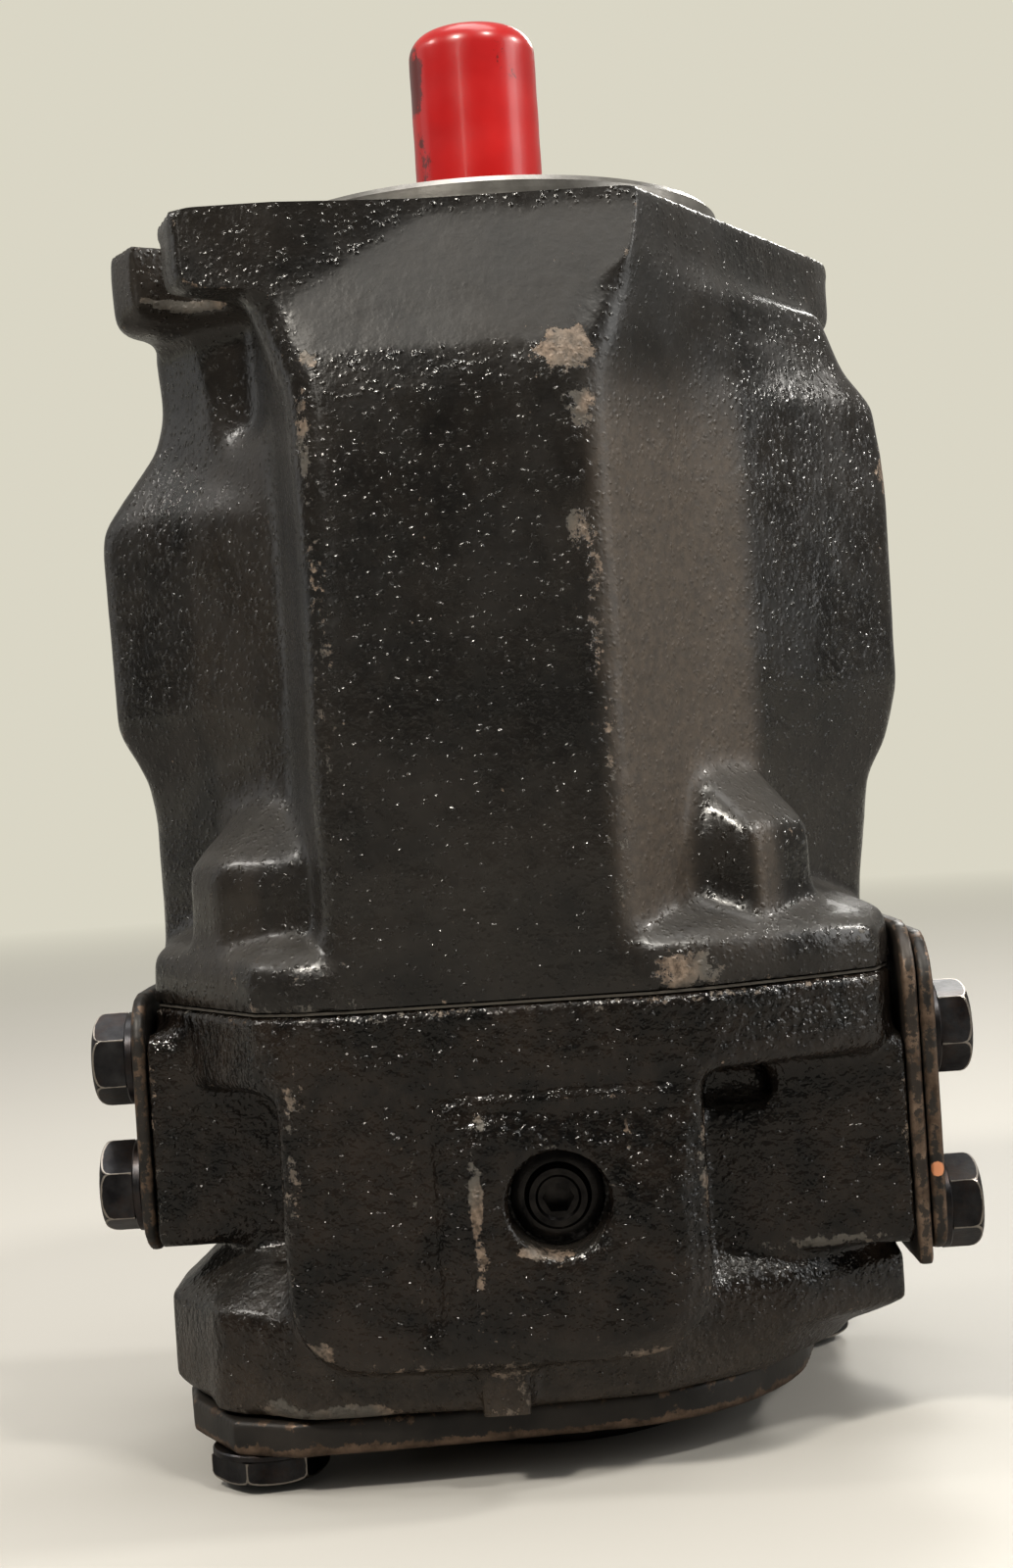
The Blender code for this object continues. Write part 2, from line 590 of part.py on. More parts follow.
def make_screw(name, mat, sizes, seat, outward, centre, axis, grip):
    """Hexagon screw: washer on the seat, head outside it and shank inward."""
    shank, flats, head, washer = sizes
    corner = flats / math.sqrt(3.0)
    inner = seat - outward * grip
    out = seat + outward * GAP
    rim = flats / 2 + 1.2
    profile = [(0, inner), (shank - 1.0, inner), (shank, inner + outward * 1.0), (shank, out),
               (rim, out), (rim, out + outward * washer), (0, out + outward * washer)]
    screw = make_object(name, revolve(profile, SMALL_ROUND, centre, axis), mat)
    low = out + outward * (washer - 0.4)
    high = out + outward * (washer + head)
    hexagon = circle(corner, 6, centre)
    crown = circle(corner * 0.93, 6, centre)
    add(screw, f"{name}_head", loft(sorted([(low, hexagon), (high - outward * 0.8, hexagon), (high, crown)],
                                           key=lambda level: level[0]), axis))
    return screw


def make_covers(plate_mat, screw_mat, bare_mat):
    half_y = PRESSURE_PITCH_Y / 2 + PAD_MARGIN - 1.0
    half_z = PRESSURE_PITCH_Z / 2 + PAD_MARGIN + 0.5
    outline = rounded_rectangle(-half_y, half_y, PRESSURE_Z - half_z, PRESSURE_Z + half_z,
                                (PLATE_CORNER - 1.0,) * 4)
    face = LEFT_FACE - GAP
    plate = make_object("pressure_port_cover", prism(outline, face - PLATE_THICK, face, "X"), plate_mat)
    for name, y, z in screw_places(PRESSURE_PITCH_Y, PRESSURE_PITCH_Z, PRESSURE_Z):
        cut(plate, f"pressure_cover_hole_{name}", revolve(
            [(0, face - PLATE_THICK - 2.0), (PRESSURE_SCREW[0] + 2 * GAP, face - PLATE_THICK - 2.0),
             (PRESSURE_SCREW[0] + 2 * GAP, face + 2.0), (0, face + 2.0)], SMALL_ROUND, (y, z), "X"))
        make_screw(f"pressure_screw_{name}", screw_mat, PRESSURE_SCREW, face - PLATE_THICK, -1, (y, z), "X",
                   PLATE_THICK + SCREW_GRIP - 2.0)
    half_y = SUCTION_PITCH_Y / 2 + PAD_MARGIN
    inner = RIGHT_FACE + GAP
    low, high = SPACER_RANGE
    outline = rounded_rectangle(-half_y, half_y, SUCTION_Z + low, SUCTION_Z + high,
                                (2.0, 2.0, PLATE_CORNER, PLATE_CORNER))
    spacer = make_object("suction_port_spacer", prism(outline, inner, inner + PLATE_THICK, "X"), bare_mat)
    face = inner + PLATE_THICK + GAP
    low, high = COVER_RANGE
    outline = rounded_rectangle(-half_y, half_y, SUCTION_Z + low, SUCTION_Z + high,
                                (7.0, 7.0, PLATE_CORNER, PLATE_CORNER))
    plate = make_object("suction_port_cover", prism(outline, face, face + PLATE_THICK, "X"), plate_mat)
    for name, y, z in screw_places(SUCTION_PITCH_Y, SUCTION_PITCH_Z, SUCTION_Z):
        for piece, tag in ((spacer, "spacer"), (plate, "cover")):
            cut(piece, f"suction_{tag}_hole_{name}", revolve(
                [(0, inner - 2.0), (SUCTION_SCREW[0] + 2 * GAP, inner - 2.0),
                 (SUCTION_SCREW[0] + 2 * GAP, face + PLATE_THICK + 2.0), (0, face + PLATE_THICK + 2.0)],
                SMALL_ROUND, (y, z), "X"))
        make_screw(f"suction_screw_{name}", screw_mat, SUCTION_SCREW, face + PLATE_THICK, 1, (y, z), "X",
                   2 * PLATE_THICK + SCREW_GRIP - 2.0)


def make_drive_cover(plate_mat, screw_mat):
    reach = BOLT_SPAN / 2
    disc = arc(COVER_DISC, math.radians(285.0), math.radians(345.0), 7)
    outline = []
    for ear, turn in ((COVER_FRONT_EAR, list), (COVER_BACK_EAR, turned)):
        outline += turn([cover_point(reach + beyond, beside) for beyond, beside in ear] + disc)
    top = Z_BLOCK - GAP
    cover = make_object("through_drive_cover", prism(outline, Z_COVER, top), plate_mat)
    add(cover, "cover_boss", revolve([(0, 0), (COVER_BOSS_RADIUS - 2.0, 0), (COVER_BOSS_RADIUS, 2.0),
                                      (COVER_BOSS_RADIUS, Z_COVER + 2.0), (0, Z_COVER + 2.0)]))
    for end_name, side in (("front", 1), ("back", -1)):
        centre = cover_point(side * reach)
        hole = COVER_SCREW[0] + 2 * GAP
        low = Z_COVER - 3.0
        cut(cover, f"cover_hole_{end_name}", revolve([(0, low), (hole, low), (hole, top + 3.0), (0, top + 3.0)],
                                                     SMALL_ROUND, centre))
        make_screw(f"cover_screw_{end_name}", screw_mat, COVER_SCREW, Z_COVER, -1, centre, "Z",
                   COVER_THICK + SCREW_GRIP - 2.0)


def spline_outline(radius, depth, teeth):
    points = []
    pitch = 2 * math.pi / teeth
    for i in range(teeth):
        for share, level in ((-0.3, radius - depth), (-0.16, radius), (0.16, radius), (0.3, radius - depth)):
            angle = (i + share) * pitch
            points.append((level * math.cos(angle), level * math.sin(angle)))
    return points


def make_shaft(mat, pivot):
    low = Z_REAR_BEARING - 2.0
    top = Z_FLANGE + SHAFT_REACH
    spline_low = top - SPLINE_LENGTH
    profile = [(0, low), (REAR_SEAT - 1.0, low), (REAR_SEAT, low + 1.0), (REAR_SEAT, Z_PART - 2.0),
               (SHAFT_RADIUS + 0.8, Z_PART), (SHAFT_RADIUS + 0.8, Z_CYLINDER + CYLINDER_LENGTH + 3.0),
               (SHAFT_RADIUS, Z_CYLINDER + CYLINDER_LENGTH + 4.0), (SHAFT_RADIUS, Z_FRONT_BEARING - 5.0),
               (BEARING_SEAT + 2.5, Z_FRONT_BEARING - 4.0), (BEARING_SEAT + 2.5, Z_FRONT_BEARING - GAP),
               (BEARING_SEAT, Z_FRONT_BEARING - GAP), (BEARING_SEAT, Z_FRONT_BEARING + BEARING_WIDTH + 1.0),
               (SEAL_SEAT, Z_FRONT_BEARING + BEARING_WIDTH + 2.0), (SEAL_SEAT, Z_FLANGE + 2.0),
               (SHAFT_RADIUS - SPLINE_DEPTH, Z_FLANGE + 5.0), (SHAFT_RADIUS - SPLINE_DEPTH, spline_low + 2.0),
               (0, spline_low + 2.0)]
    shaft = make_object("drive_shaft", revolve(profile, 20), mat)
    full = spline_outline(SHAFT_RADIUS, SPLINE_DEPTH, SPLINE_TEETH)
    lead = spline_outline(SHAFT_RADIUS - 1.2, SPLINE_DEPTH * 0.3, SPLINE_TEETH)
    add(shaft, "shaft_spline", loft([(spline_low, full), (top - 1.5, full), (top, lead)]))
    return hang(shaft, pivot)


def ring_profile(inner_low, inner_high, outer_low, outer_high, low, high):
    return [(inner_low, low), (outer_low, low), (outer_high, high), (inner_high, high)]


def make_bearing(name, low, seat, cup, pivot, mats, roller_pivot, wide_up):
    """Tapered roller bearing: outer ring, inner ring and a cage full of rollers."""
    mid = (seat + cup) / 2
    slope = 1.4 if wide_up else -1.4
    cup_in = (mid + 2.6 - slope, mid + 2.6 + slope)
    cone_out = (mid - 2.4 - slope, mid - 2.4 + slope)
    high = low + BEARING_WIDTH
    outer = ring_profile(cup_in[0], cup_in[1], cup, cup, low, high)
    make_object(f"{name}_outer_ring", revolve(outer), mats[0])
    inner = make_object(f"{name}_inner_ring", revolve(
        ring_profile(seat + GAP, seat + GAP, cone_out[0], cone_out[1], low, high)), mats[0])
    hang(inner, pivot)
    levels = []
    for z, shift in ((low + 1.5, -slope * 0.82), (high - 1.5, slope * 0.82)):
        outline = []
        pitch = 2 * math.pi / ROLLER_COUNT
        for i in range(ROLLER_COUNT):
            for share, level in ((-0.5, 0.9), (-0.36, 1.9), (-0.12, 2.15), (0.12, 2.15), (0.36, 1.9)):
                angle = (i + share) * pitch
                reach = mid + shift + level
                outline.append((reach * math.cos(angle), reach * math.sin(angle)))
        levels.append((z, outline))
    rollers = make_object(f"{name}_rollers", loft(levels), mats[1])
    bore = [(0, low - 1.0), (mid - 1.95 - slope * 0.82, low - 1.0), (mid - 1.95 - slope * 0.82, low + 1.5),
            (mid - 1.95 + slope * 0.82, high - 1.5), (mid - 1.95 + slope * 0.82, high + 1.0), (0, high + 1.0)]
    cut(rollers, f"{name}_rollers_bore", revolve(bore, ROLLER_COUNT * 2))
    hang(rollers, roller_pivot)


def make_seal(rubber, steel):
    lip = SEAL_SEAT + GAP
    make_object("shaft_seal", revolve([
        (lip, Z_SEAL + 2.0), (lip + 1.2, Z_SEAL), (SEAL_RADIUS, Z_SEAL), (SEAL_RADIUS, Z_SEAL + SEAL_THICK),
        (lip + 0.4, Z_SEAL + SEAL_THICK), (lip + 1.5, Z_SEAL + SEAL_THICK - 2.0)]), rubber)
    outer = arc(SEAL_RADIUS + 1.1, math.radians(12.0), math.radians(348.0), 24)
    inner = arc(SEAL_RADIUS - 1.8, math.radians(348.0), math.radians(12.0), 24)
    make_object("seal_retaining_ring", prism(outer + inner, Z_RING, Z_RING + RING_THICK), steel)


def make_cylinder_block(mat, pivot):
    high = Z_CYLINDER + CYLINDER_LENGTH
    bore = SHAFT_RADIUS + 0.8 + GAP
    block = make_object("cylinder_block", revolve([
        (bore, Z_CYLINDER), (BLOCK_RADIUS - 1.5, Z_CYLINDER), (BLOCK_RADIUS, Z_CYLINDER + 1.5),
        (BLOCK_RADIUS, high - 3.0), (BLOCK_RADIUS - 3.0, high), (SPRING_POCKET, high),
        (SPRING_POCKET, high - SPRING_DEPTH), (bore, high - SPRING_DEPTH)], 36), mat)
    for i in range(PISTON_COUNT):
        angle = 2 * math.pi * i / PISTON_COUNT
        centre = (BORE_CIRCLE * math.cos(angle), BORE_CIRCLE * math.sin(angle))
        radius = PISTON_RADIUS + BORE_CLEARANCE
        cut(block, f"piston_bore_{i + 1}", revolve([
            (0, Z_CYLINDER + 8.0), (radius, Z_CYLINDER + 8.0), (radius, high + 2.0), (0, high + 2.0)],
            SMALL_ROUND, centre))
        slot = kidney(BORE_CIRCLE, 3.2, angle - math.radians(9.0), angle + math.radians(9.0), 2)
        cut(block, f"cylinder_port_{i + 1}", prism(slot, Z_CYLINDER - 2.0, Z_CYLINDER + 10.0))
    return hang(block, pivot)


def coil(radius, wire, low, high, turns, sides=5, per_turn=10, centre=(0.0, 0.0)):
    """A helical spring with its two ends capped flat, lying between low and high."""
    bm = bmesh.new()
    count = int(turns * per_turn)
    rise = high - low - 2 * wire
    rings = []
    for i in range(count + 1):
        angle = 2 * math.pi * i / per_turn
        z = low + wire + rise * i / count
        ring = []
        for k in range(sides):
            turn = 2 * math.pi * k / sides
            r = radius + wire * math.cos(turn)
            ring.append(bm.verts.new(Vector((centre[0] + r * math.cos(angle), centre[1] + r * math.sin(angle),
                                             z + wire * math.sin(turn))) * MM))
        rings.append(ring)
    for low_ring, high_ring in zip(rings, rings[1:]):
        for k in range(sides):
            j = (k + 1) % sides
            bm.faces.new((low_ring[k], low_ring[j], high_ring[j], high_ring[k]))
    bm.faces.new(list(reversed(rings[0])))
    bm.faces.new(rings[-1])
    bmesh.ops.recalc_face_normals(bm, faces=bm.faces)
    return bm


def make_ball_guide(mat, pivot):
    """Spherical guide on the shaft; its sphere is centred on the swash pivot."""
    inner = SHAFT_RADIUS + 0.8 + GAP
    crown = math.asin(5.0 / GUIDE_RADIUS)
    foot = math.asin(11.0 / GUIDE_RADIUS)
    ball = arc(GUIDE_RADIUS, crown, -foot, 5, (0.0, Z_PIVOT))
    hub = Z_CYLINDER + CYLINDER_LENGTH - SPRING_DEPTH + SPRING_REST
    waist = GUIDE_RADIUS - 3.2
    profile = [(inner, ball[0][1])] + ball + [(waist, ball[-1][1] - 1.0), (waist, hub), (inner, hub)]
    return hang(make_object("ball_guide", revolve(profile, 20), mat), pivot)


def make_block_spring(mat, pivot):
    low = Z_CYLINDER + CYLINDER_LENGTH - SPRING_DEPTH + GAP
    high = low + SPRING_REST - 2 * GAP
    radius = SHAFT_RADIUS + 0.8 + SPRING_WIRE + 0.7
    spring = make_object("block_spring", coil(radius, SPRING_WIRE, low, high, 3), mat)
    return hang(spring, pivot)


def make_valve_plate(mat):
    inner = REAR_CUP_RADIUS - 1.0
    high = Z_VALVE + VALVE_PLATE_THICK
    plate = make_object("valve_plate", revolve([(inner, Z_VALVE), (BLOCK_RADIUS, Z_VALVE),
                                                (BLOCK_RADIUS, high), (inner, high)]), mat)
    for name, middle in (("pressure", math.pi), ("suction", 0.0)):
        slot = kidney(BORE_CIRCLE, 3.6, middle - math.radians(57.0), middle + math.radians(57.0), 7)
        cut(plate, f"{name}_slot", prism(slot, Z_VALVE - 2.0, high + 2.0))


def make_swashplate(mat, pivot):
    face = BALL_TO_FACE + GAP
    top = face + SWASH_PLATE
    swash = make_object("swashplate", revolve([
        (SWASH_HOLE, face), (SWASH_RADIUS - 1.0, face), (SWASH_RADIUS, face + 1.0), (SWASH_RADIUS, top),
        (SWASH_HOLE, top)], ROUND), mat)
    hang(swash, pivot)
    limit = math.acos((top - 1.0) / CRADLE_RADIUS)
    crown = arc(CRADLE_RADIUS, math.pi / 2 - limit, math.pi / 2 + limit, 10)
    for side, sign in (("left", -1), ("right", 1)):
        ends = sorted((sign * CRADLE_NEAR, sign * CRADLE_FAR))
        tool = make_tool(f"swash_crown_{side}", prism(crown, ends[0], ends[1], "X"))
        boolean(swash, hang(tool, pivot), "UNION")
    ear = rounded_rectangle(-EAR_HALF_WIDTH, EAR_HALF_WIDTH, -EAR_REACH - 6.5, EAR_REACH + 6.5, (4.0,) * 4, 2)
    tool = make_tool("swash_ears", prism(ear, face + 0.4, top - 0.4))
    boolean(swash, hang(tool, pivot), "UNION")
    tool = make_tool("swash_hole", revolve([(0, 0), (SWASH_HOLE, 0), (SWASH_HOLE, CRADLE_RADIUS + 4.0),
                                            (0, CRADLE_RADIUS + 4.0)], 24))
    boolean(swash, hang(tool, pivot), "DIFFERENCE")


def make_cradles(mat):
    inner = CRADLE_RADIUS + GAP
    outer = inner + CRADLE_SHELL
    start = math.pi / 2 - CRADLE_HALF_ANGLE
    end = math.pi / 2 + CRADLE_HALF_ANGLE
    outline = arc(outer, start, end, 12, (0.0, Z_PIVOT)) + arc(inner, end, start, 12, (0.0, Z_PIVOT))
    for side, sign in (("left", -1), ("right", 1)):
        ends = sorted((sign * (CRADLE_NEAR + 0.5), sign * (CRADLE_FAR - 0.5)))
        make_object(f"cradle_bearing_{side}", prism(outline, ends[0], ends[1], "X"), mat)


def make_retainer(mat, pivot):
    high = BALL_TO_FACE - SLIPPER_FLANGE - GAP
    low = high - RETAINER_THICK
    plate = make_object("retainer_plate", revolve([
        (GUIDE_RADIUS + 0.5, low), (BALL_CIRCLE + SLIPPER_RADIUS + 0.6, low),
        (BALL_CIRCLE + SLIPPER_RADIUS + 0.6, high), (GUIDE_RADIUS + 0.5, high)], 36), mat)
    hang(plate, pivot)
    for i in range(PISTON_COUNT):
        angle = 2 * math.pi * i / PISTON_COUNT
        centre = (BALL_CIRCLE * math.cos(angle), BALL_CIRCLE * math.sin(angle))
        hole = SLIPPER_NECK + 0.5
        tool = make_tool(f"retainer_hole_{i + 1}", revolve([
            (0, low - 2.0), (hole, low - 2.0), (hole, high + 2.0), (0, high + 2.0)],
            SMALL_ROUND, centre, "Z", math.pi / SMALL_ROUND))
        boolean(plate, hang(tool, pivot), "DIFFERENCE")


def slipper_mesh():
    """Shoe with its running face up and a socket that closes below the ball's middle."""
    socket = BALL_RADIUS + SOCKET_GAP
    mouth = math.asin(3.0 / socket)
    inside = arc(socket, -mouth, math.pi / 2, 4)
    profile = inside[:-1] + [(0, socket)]
    flange = BALL_TO_FACE - SLIPPER_FLANGE
    shell = [(0, BALL_TO_FACE), (SLIPPER_RADIUS, BALL_TO_FACE), (SLIPPER_RADIUS, flange),
             (SLIPPER_NECK, flange), (SLIPPER_NECK, -2.2), (SLIPPER_NECK - 0.8, -3.0)]
    bm = bmesh.new()
    rings = []
    for radius, height in list(reversed(shell)) + list(reversed(profile)):
        if radius == 0:
            rings.append([bm.verts.new(Vector((0, 0, height)) * MM)])
        else:
            rings.append([bm.verts.new(Vector((x, y, height)) * MM) for x, y in circle(radius, SMALL_ROUND)])
    order = rings + [rings[0]]
    for low, high in zip(order, order[1:]):
        if len(low) == 1 and len(high) == 1:
            continue
        for i in range(SMALL_ROUND):
            j = (i + 1) % SMALL_ROUND
            if len(low) == 1:
                bm.faces.new((low[0], high[j], high[i]))
            elif len(high) == 1:
                bm.faces.new((low[i], low[j], high[0]))
            else:
                bm.faces.new((low[i], low[j], high[j], high[i]))
    bmesh.ops.recalc_face_normals(bm, faces=bm.faces)
    return bm


def piston_mesh():
    start = math.acos(PISTON_NECK / BALL_RADIUS)
    ball = arc(BALL_RADIUS, -start, math.pi / 2, 4)
    low = -PISTON_LENGTH
    profile = [(0, low), (PISTON_RADIUS - 0.8, low), (PISTON_RADIUS, low + 0.8), (PISTON_RADIUS, -11.0),
               (PISTON_NECK, -7.0)] + ball[:-1] + [(0, BALL_RADIUS)]
    return revolve(profile, SMALL_ROUND)


def make_piston_set(piston_mat, slipper_mat, ring_pivot):
    piston = None
    slipper = None
    for i in range(PISTON_COUNT):
        angle = 2 * math.pi * i / PISTON_COUNT
        centre = (BALL_CIRCLE * math.cos(angle), BALL_CIRCLE * math.sin(angle), 0.0)
        shoe_pivot = make_pivot(f"slipper_pivot_{i + 1}", centre, ring_pivot)
        ball_pivot = make_pivot(f"ball_pivot_{i + 1}", (0, 0, 0), shoe_pivot, -TILT)
        if i == 0:
            slipper = make_object("slipper_1", slipper_mesh(), slipper_mat)
            piston = make_object("piston_1", piston_mesh(), piston_mat)
            hang(slipper, shoe_pivot)
            hang(piston, ball_pivot)
            continue
        for name, source, pivot in (("slipper", slipper, shoe_pivot), ("piston", piston, ball_pivot)):
            copy = bpy.data.objects.new(f"{name}_{i + 1}", source.data)
            bpy.context.scene.collection.objects.link(copy)
            hang(copy, pivot)


def tip_height(reach, angle):
    """Top of a round tip below the swash ear at this reach and swash angle."""
    face = BALL_TO_FACE + GAP + 0.4
    return (Z_PIVOT + face / math.cos(angle) + reach * math.tan(angle)
            - TIP_RADIUS * (1 / math.cos(angle) - 1) - TIP_GAP)


def cup_profile(tip, outer, inner, length, depth, collar=0.0):
    """A round-ended cup, open at its lower end, as (radius, height) points from the tip down."""
    start = [(0, tip)] + [(TIP_RADIUS * math.sin(a), tip - TIP_RADIUS + TIP_RADIUS * math.cos(a))
                          for a in (0.35, 0.7, 1.05)]
    shoulder = tip - 4.5
    wide = outer + collar
    low = tip - length
    points = start + [(wide, shoulder)]
    if collar:
        points += [(wide, shoulder - 3.0), (outer, shoulder - 3.0)]
    return points + [(outer, low), (inner, low), (inner, tip - depth), (0, tip - depth)]


def make_control(steel, spring_mat):
    seat = Z_PART + GAP
    tip = tip_height(-EAR_REACH, TILT)
    front = (0.0, -EAR_REACH)
    back = (0.0, EAR_REACH)
    foot = seat + GUIDE_FOOT_HEIGHT
    rod = seat + PIVOT_RISE - 23.0
    make_object("control_guide", revolve([
        (0, seat), (GUIDE_FOOT, seat), (GUIDE_FOOT, foot), (CONTROL_ROD, foot), (CONTROL_ROD, rod), (0, rod)],
        20, front), steel)
    control = make_object("control_piston", revolve(cup_profile(
        tip, CONTROL_ROD + 2.6, CONTROL_ROD + GAP + 0.1, 56.0, 14.0), 20), steel)
    control.location = Vector((front[0], front[1], 0.0)) * MM
    rod = seat + PIVOT_RISE - 11.0
    make_object("bias_guide", revolve([(0, seat), (GUIDE_FOOT, seat), (GUIDE_FOOT, foot), (BIAS_ROD, foot),
                                       (BIAS_ROD, rod), (0, rod)], 20, back), steel)
    tip = tip_height(EAR_REACH, TILT)
    bias = make_object("bias_piston", revolve(cup_profile(
        tip, BIAS_ROD + 1.6, BIAS_ROD + GAP + 0.1, 70.0, 16.0, BIAS_COLLAR), 20), steel)
    bias.location = Vector((back[0], back[1], 0.0)) * MM
    make_object("bias_spring", coil(BIAS_ROD + 1.6 + BIAS_WIRE + 0.6, BIAS_WIRE, foot + GAP,
                                    tip - 7.5 - GAP, 7, 5, 8, back), spring_mat)


def make_plug(mat):
    """Socket plug at the bottom of the front counterbore."""
    face = PANEL_Y + PLUG_RECESS
    collar = PLUG_RADIUS + 1.8
    end = face + 12.0
    plug = make_object("port_plug", revolve([
        (0, face - 2.6), (collar - 0.6, face - 2.6), (collar, face - 2.0), (collar, face - GAP),
        (PLUG_RADIUS, face - GAP), (PLUG_RADIUS, end), (0, end)], 24, (PLUG_X, PLUG_Z), "Y"), mat)
    cut(plug, "plug_socket", prism(circle(3.2, 6, (PLUG_X, PLUG_Z)), face - 6.0, face + 4.0, "Y"))


def make_cap(mat):
    top = Z_FLANGE + SHAFT_REACH + CAP_TOP_ROOM + CAP_WALL
    low = top - CAP_LENGTH
    inner = CAP_RADIUS - CAP_WALL
    crown = [(CAP_RADIUS - CAP_CORNER + CAP_CORNER * math.sin(a), top - CAP_CORNER + CAP_CORNER * math.cos(a))
             for a in (0.0, 0.4, 0.8, 1.2, math.pi / 2)]
    profile = [(0, top + 0.4)] + crown + [(CAP_RADIUS, low), (inner, low), (inner, top - CAP_CORNER),
                                          (inner - 3.4, top - CAP_WALL - 0.6), (0, top - CAP_WALL)]
    return make_object("shaft_cap", revolve(profile, 24), mat)


def make_gasket(mat):
    low = Z_PART + GAP
    gasket = make_object("housing_gasket", prism(scaled(rim_outline(), 0.99), low, low + GASKET_THICK), mat)
    room = CAVITY_RADIUS + 1.0
    cut(gasket, "gasket_opening", prism(circle(room, 36), low - 2.0, low + 3.0))
    cut(gasket, "gasket_pockets", prism(rounded_rectangle(
        -POCKET_HALF_WIDTH - 0.5, POCKET_HALF_WIDTH + 0.5, -POCKET_REACH, POCKET_REACH, (5.0,) * 4, 2),
        low - 2.0, low + 3.0))


def main():
    clear_scene()
    paint = make_material("black_paint", (0.018, 0.018, 0.018), 0.35, 0.0)
    plate = make_material("dark_plate", (0.05, 0.045, 0.04), 0.5, 0.6)
    bare = make_material("bare_metal", (0.28, 0.25, 0.22), 0.45, 0.9)
    bolt = make_material("dark_bolt", (0.08, 0.078, 0.075), 0.42, 0.85)
    steel = make_material("machined_steel", (0.45, 0.45, 0.46), 0.25, 1.0)
    bronze = make_material("bronze", (0.55, 0.36, 0.16), 0.3, 1.0)
    rubber = make_material("seal_rubber", (0.02, 0.02, 0.022), 0.6, 0.0)
    red = make_material("red_vinyl", (0.6, 0.015, 0.015), 0.25, 0.0)
    paper = make_material("gasket", (0.12, 0.11, 0.09), 0.8, 0.0)

    make_housing(paint)
    make_port_block(paint)
    make_gasket(paper)
    make_covers(plate, bolt, bare)
    make_drive_cover(plate, bolt)
    make_plug(bolt)

    shaft_pivot = make_pivot("shaft_pivot", (0, 0, 0))
    make_shaft(steel, shaft_pivot)
    front_rollers = make_pivot("front_roller_pivot", (0, 0, 0))
    rear_rollers = make_pivot("rear_roller_pivot", (0, 0, 0))
    make_bearing("front_bearing", Z_FRONT_BEARING, BEARING_SEAT, FRONT_CUP_RADIUS, shaft_pivot, (steel, bare),
                 front_rollers, False)
    make_bearing("rear_bearing", Z_REAR_BEARING, REAR_SEAT, REAR_CUP_RADIUS, shaft_pivot, (steel, bare),
                 rear_rollers, True)
    make_seal(rubber, steel)
    hang(make_cap(red), shaft_pivot)
    make_cylinder_block(steel, shaft_pivot)
    make_block_spring(steel, shaft_pivot)
    make_ball_guide(steel, shaft_pivot)
    make_valve_plate(bronze)

    swash_pivot = make_pivot("swash_pivot", (0, 0, Z_PIVOT), None, TILT)
    make_swashplate(steel, swash_pivot)
    make_cradles(bronze)
    ring_pivot = make_pivot("ring_pivot", (0, 0, 0), swash_pivot)
    make_retainer(steel, ring_pivot)
    make_piston_set(steel, bronze, ring_pivot)
    make_control(steel, steel)


main()
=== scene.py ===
"""The looks of the axial piston pump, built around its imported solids."""
import math

import bmesh
import bpy
import numpy as np
from mathutils import Matrix, Vector, noise


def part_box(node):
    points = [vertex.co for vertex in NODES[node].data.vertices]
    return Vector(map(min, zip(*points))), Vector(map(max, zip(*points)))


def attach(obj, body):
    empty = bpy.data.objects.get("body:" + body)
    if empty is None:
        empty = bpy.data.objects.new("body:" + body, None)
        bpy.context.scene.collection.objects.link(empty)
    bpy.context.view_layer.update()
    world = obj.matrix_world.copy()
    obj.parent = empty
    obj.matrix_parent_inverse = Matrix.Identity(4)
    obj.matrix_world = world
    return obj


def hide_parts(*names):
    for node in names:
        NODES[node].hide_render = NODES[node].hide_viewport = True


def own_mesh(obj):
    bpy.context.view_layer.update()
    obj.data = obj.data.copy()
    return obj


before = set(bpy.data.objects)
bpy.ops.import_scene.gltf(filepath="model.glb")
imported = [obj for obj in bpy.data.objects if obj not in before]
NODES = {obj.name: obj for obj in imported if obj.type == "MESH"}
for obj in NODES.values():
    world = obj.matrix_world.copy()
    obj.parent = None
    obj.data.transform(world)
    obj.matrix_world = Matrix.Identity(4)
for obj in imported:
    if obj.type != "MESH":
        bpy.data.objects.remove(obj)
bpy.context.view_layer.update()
MM = 0.001

# Sizes in millimetres that repeat the solids
FLANGE_TOP = 249.8
FLANGE_LOW = 233.8
PILOT_TOP = 256.3
PILOT_RADIUS = 50.8
PART_Z = 94.3
HOUSING_LOW = 95.4
PANEL_Y = -72.0
SEAL_RADIUS = 21.0
FLANGE_TURN = math.radians(34.0)
COVER_TURN = math.radians(37.0)
BOLT_REACH = 73.0
SLOT_RADIUS = 7.15
PLUG = (2.2, 56.5)
PLUG_BORE = 9.7
PLUG_RECESS = 10.0
# Grain of the finely remeshed surfaces, and the height at which an edge counts as fully proud
SKIN_VOXEL = 1.1
PLATE_VOXEL = 0.8
PROUD = 0.25
# How far the two skins reach over the gasket's edge
HOUSING_LAP = 0.22
BLOCK_LAP = 0.18
# The slope above the panel, and the flange's front edge where it turns back to the right
SLOPE_FOOT = 213.3
SLOPE_LEAN = 0.30
EDGE_Y = -66.1
EDGE_TURN = 0.178
EDGE_LEFT = -40.0
EDGE_LENGTH = 28.5
# Top of the pad round the plug
PAD_TOP = 77.4
# The hollow under each flange ear: how far its middle lies beyond the slot's, and its two radii
HOLLOW_REACH = 4.0
HOLLOW_RADII = (15.0, 19.0)
# Play of the slot's walls against the solid's
SLOT_PLAY = 0.15
# Screws: width over flats, height of the head, thickness of the washer
PRESSURE_SCREW = (16.6, 7.0, 1.6)
SUCTION_SCREW = (16.4, 6.6, 1.4)
COVER_SCREW = (20.5, 5.0, 1.2)
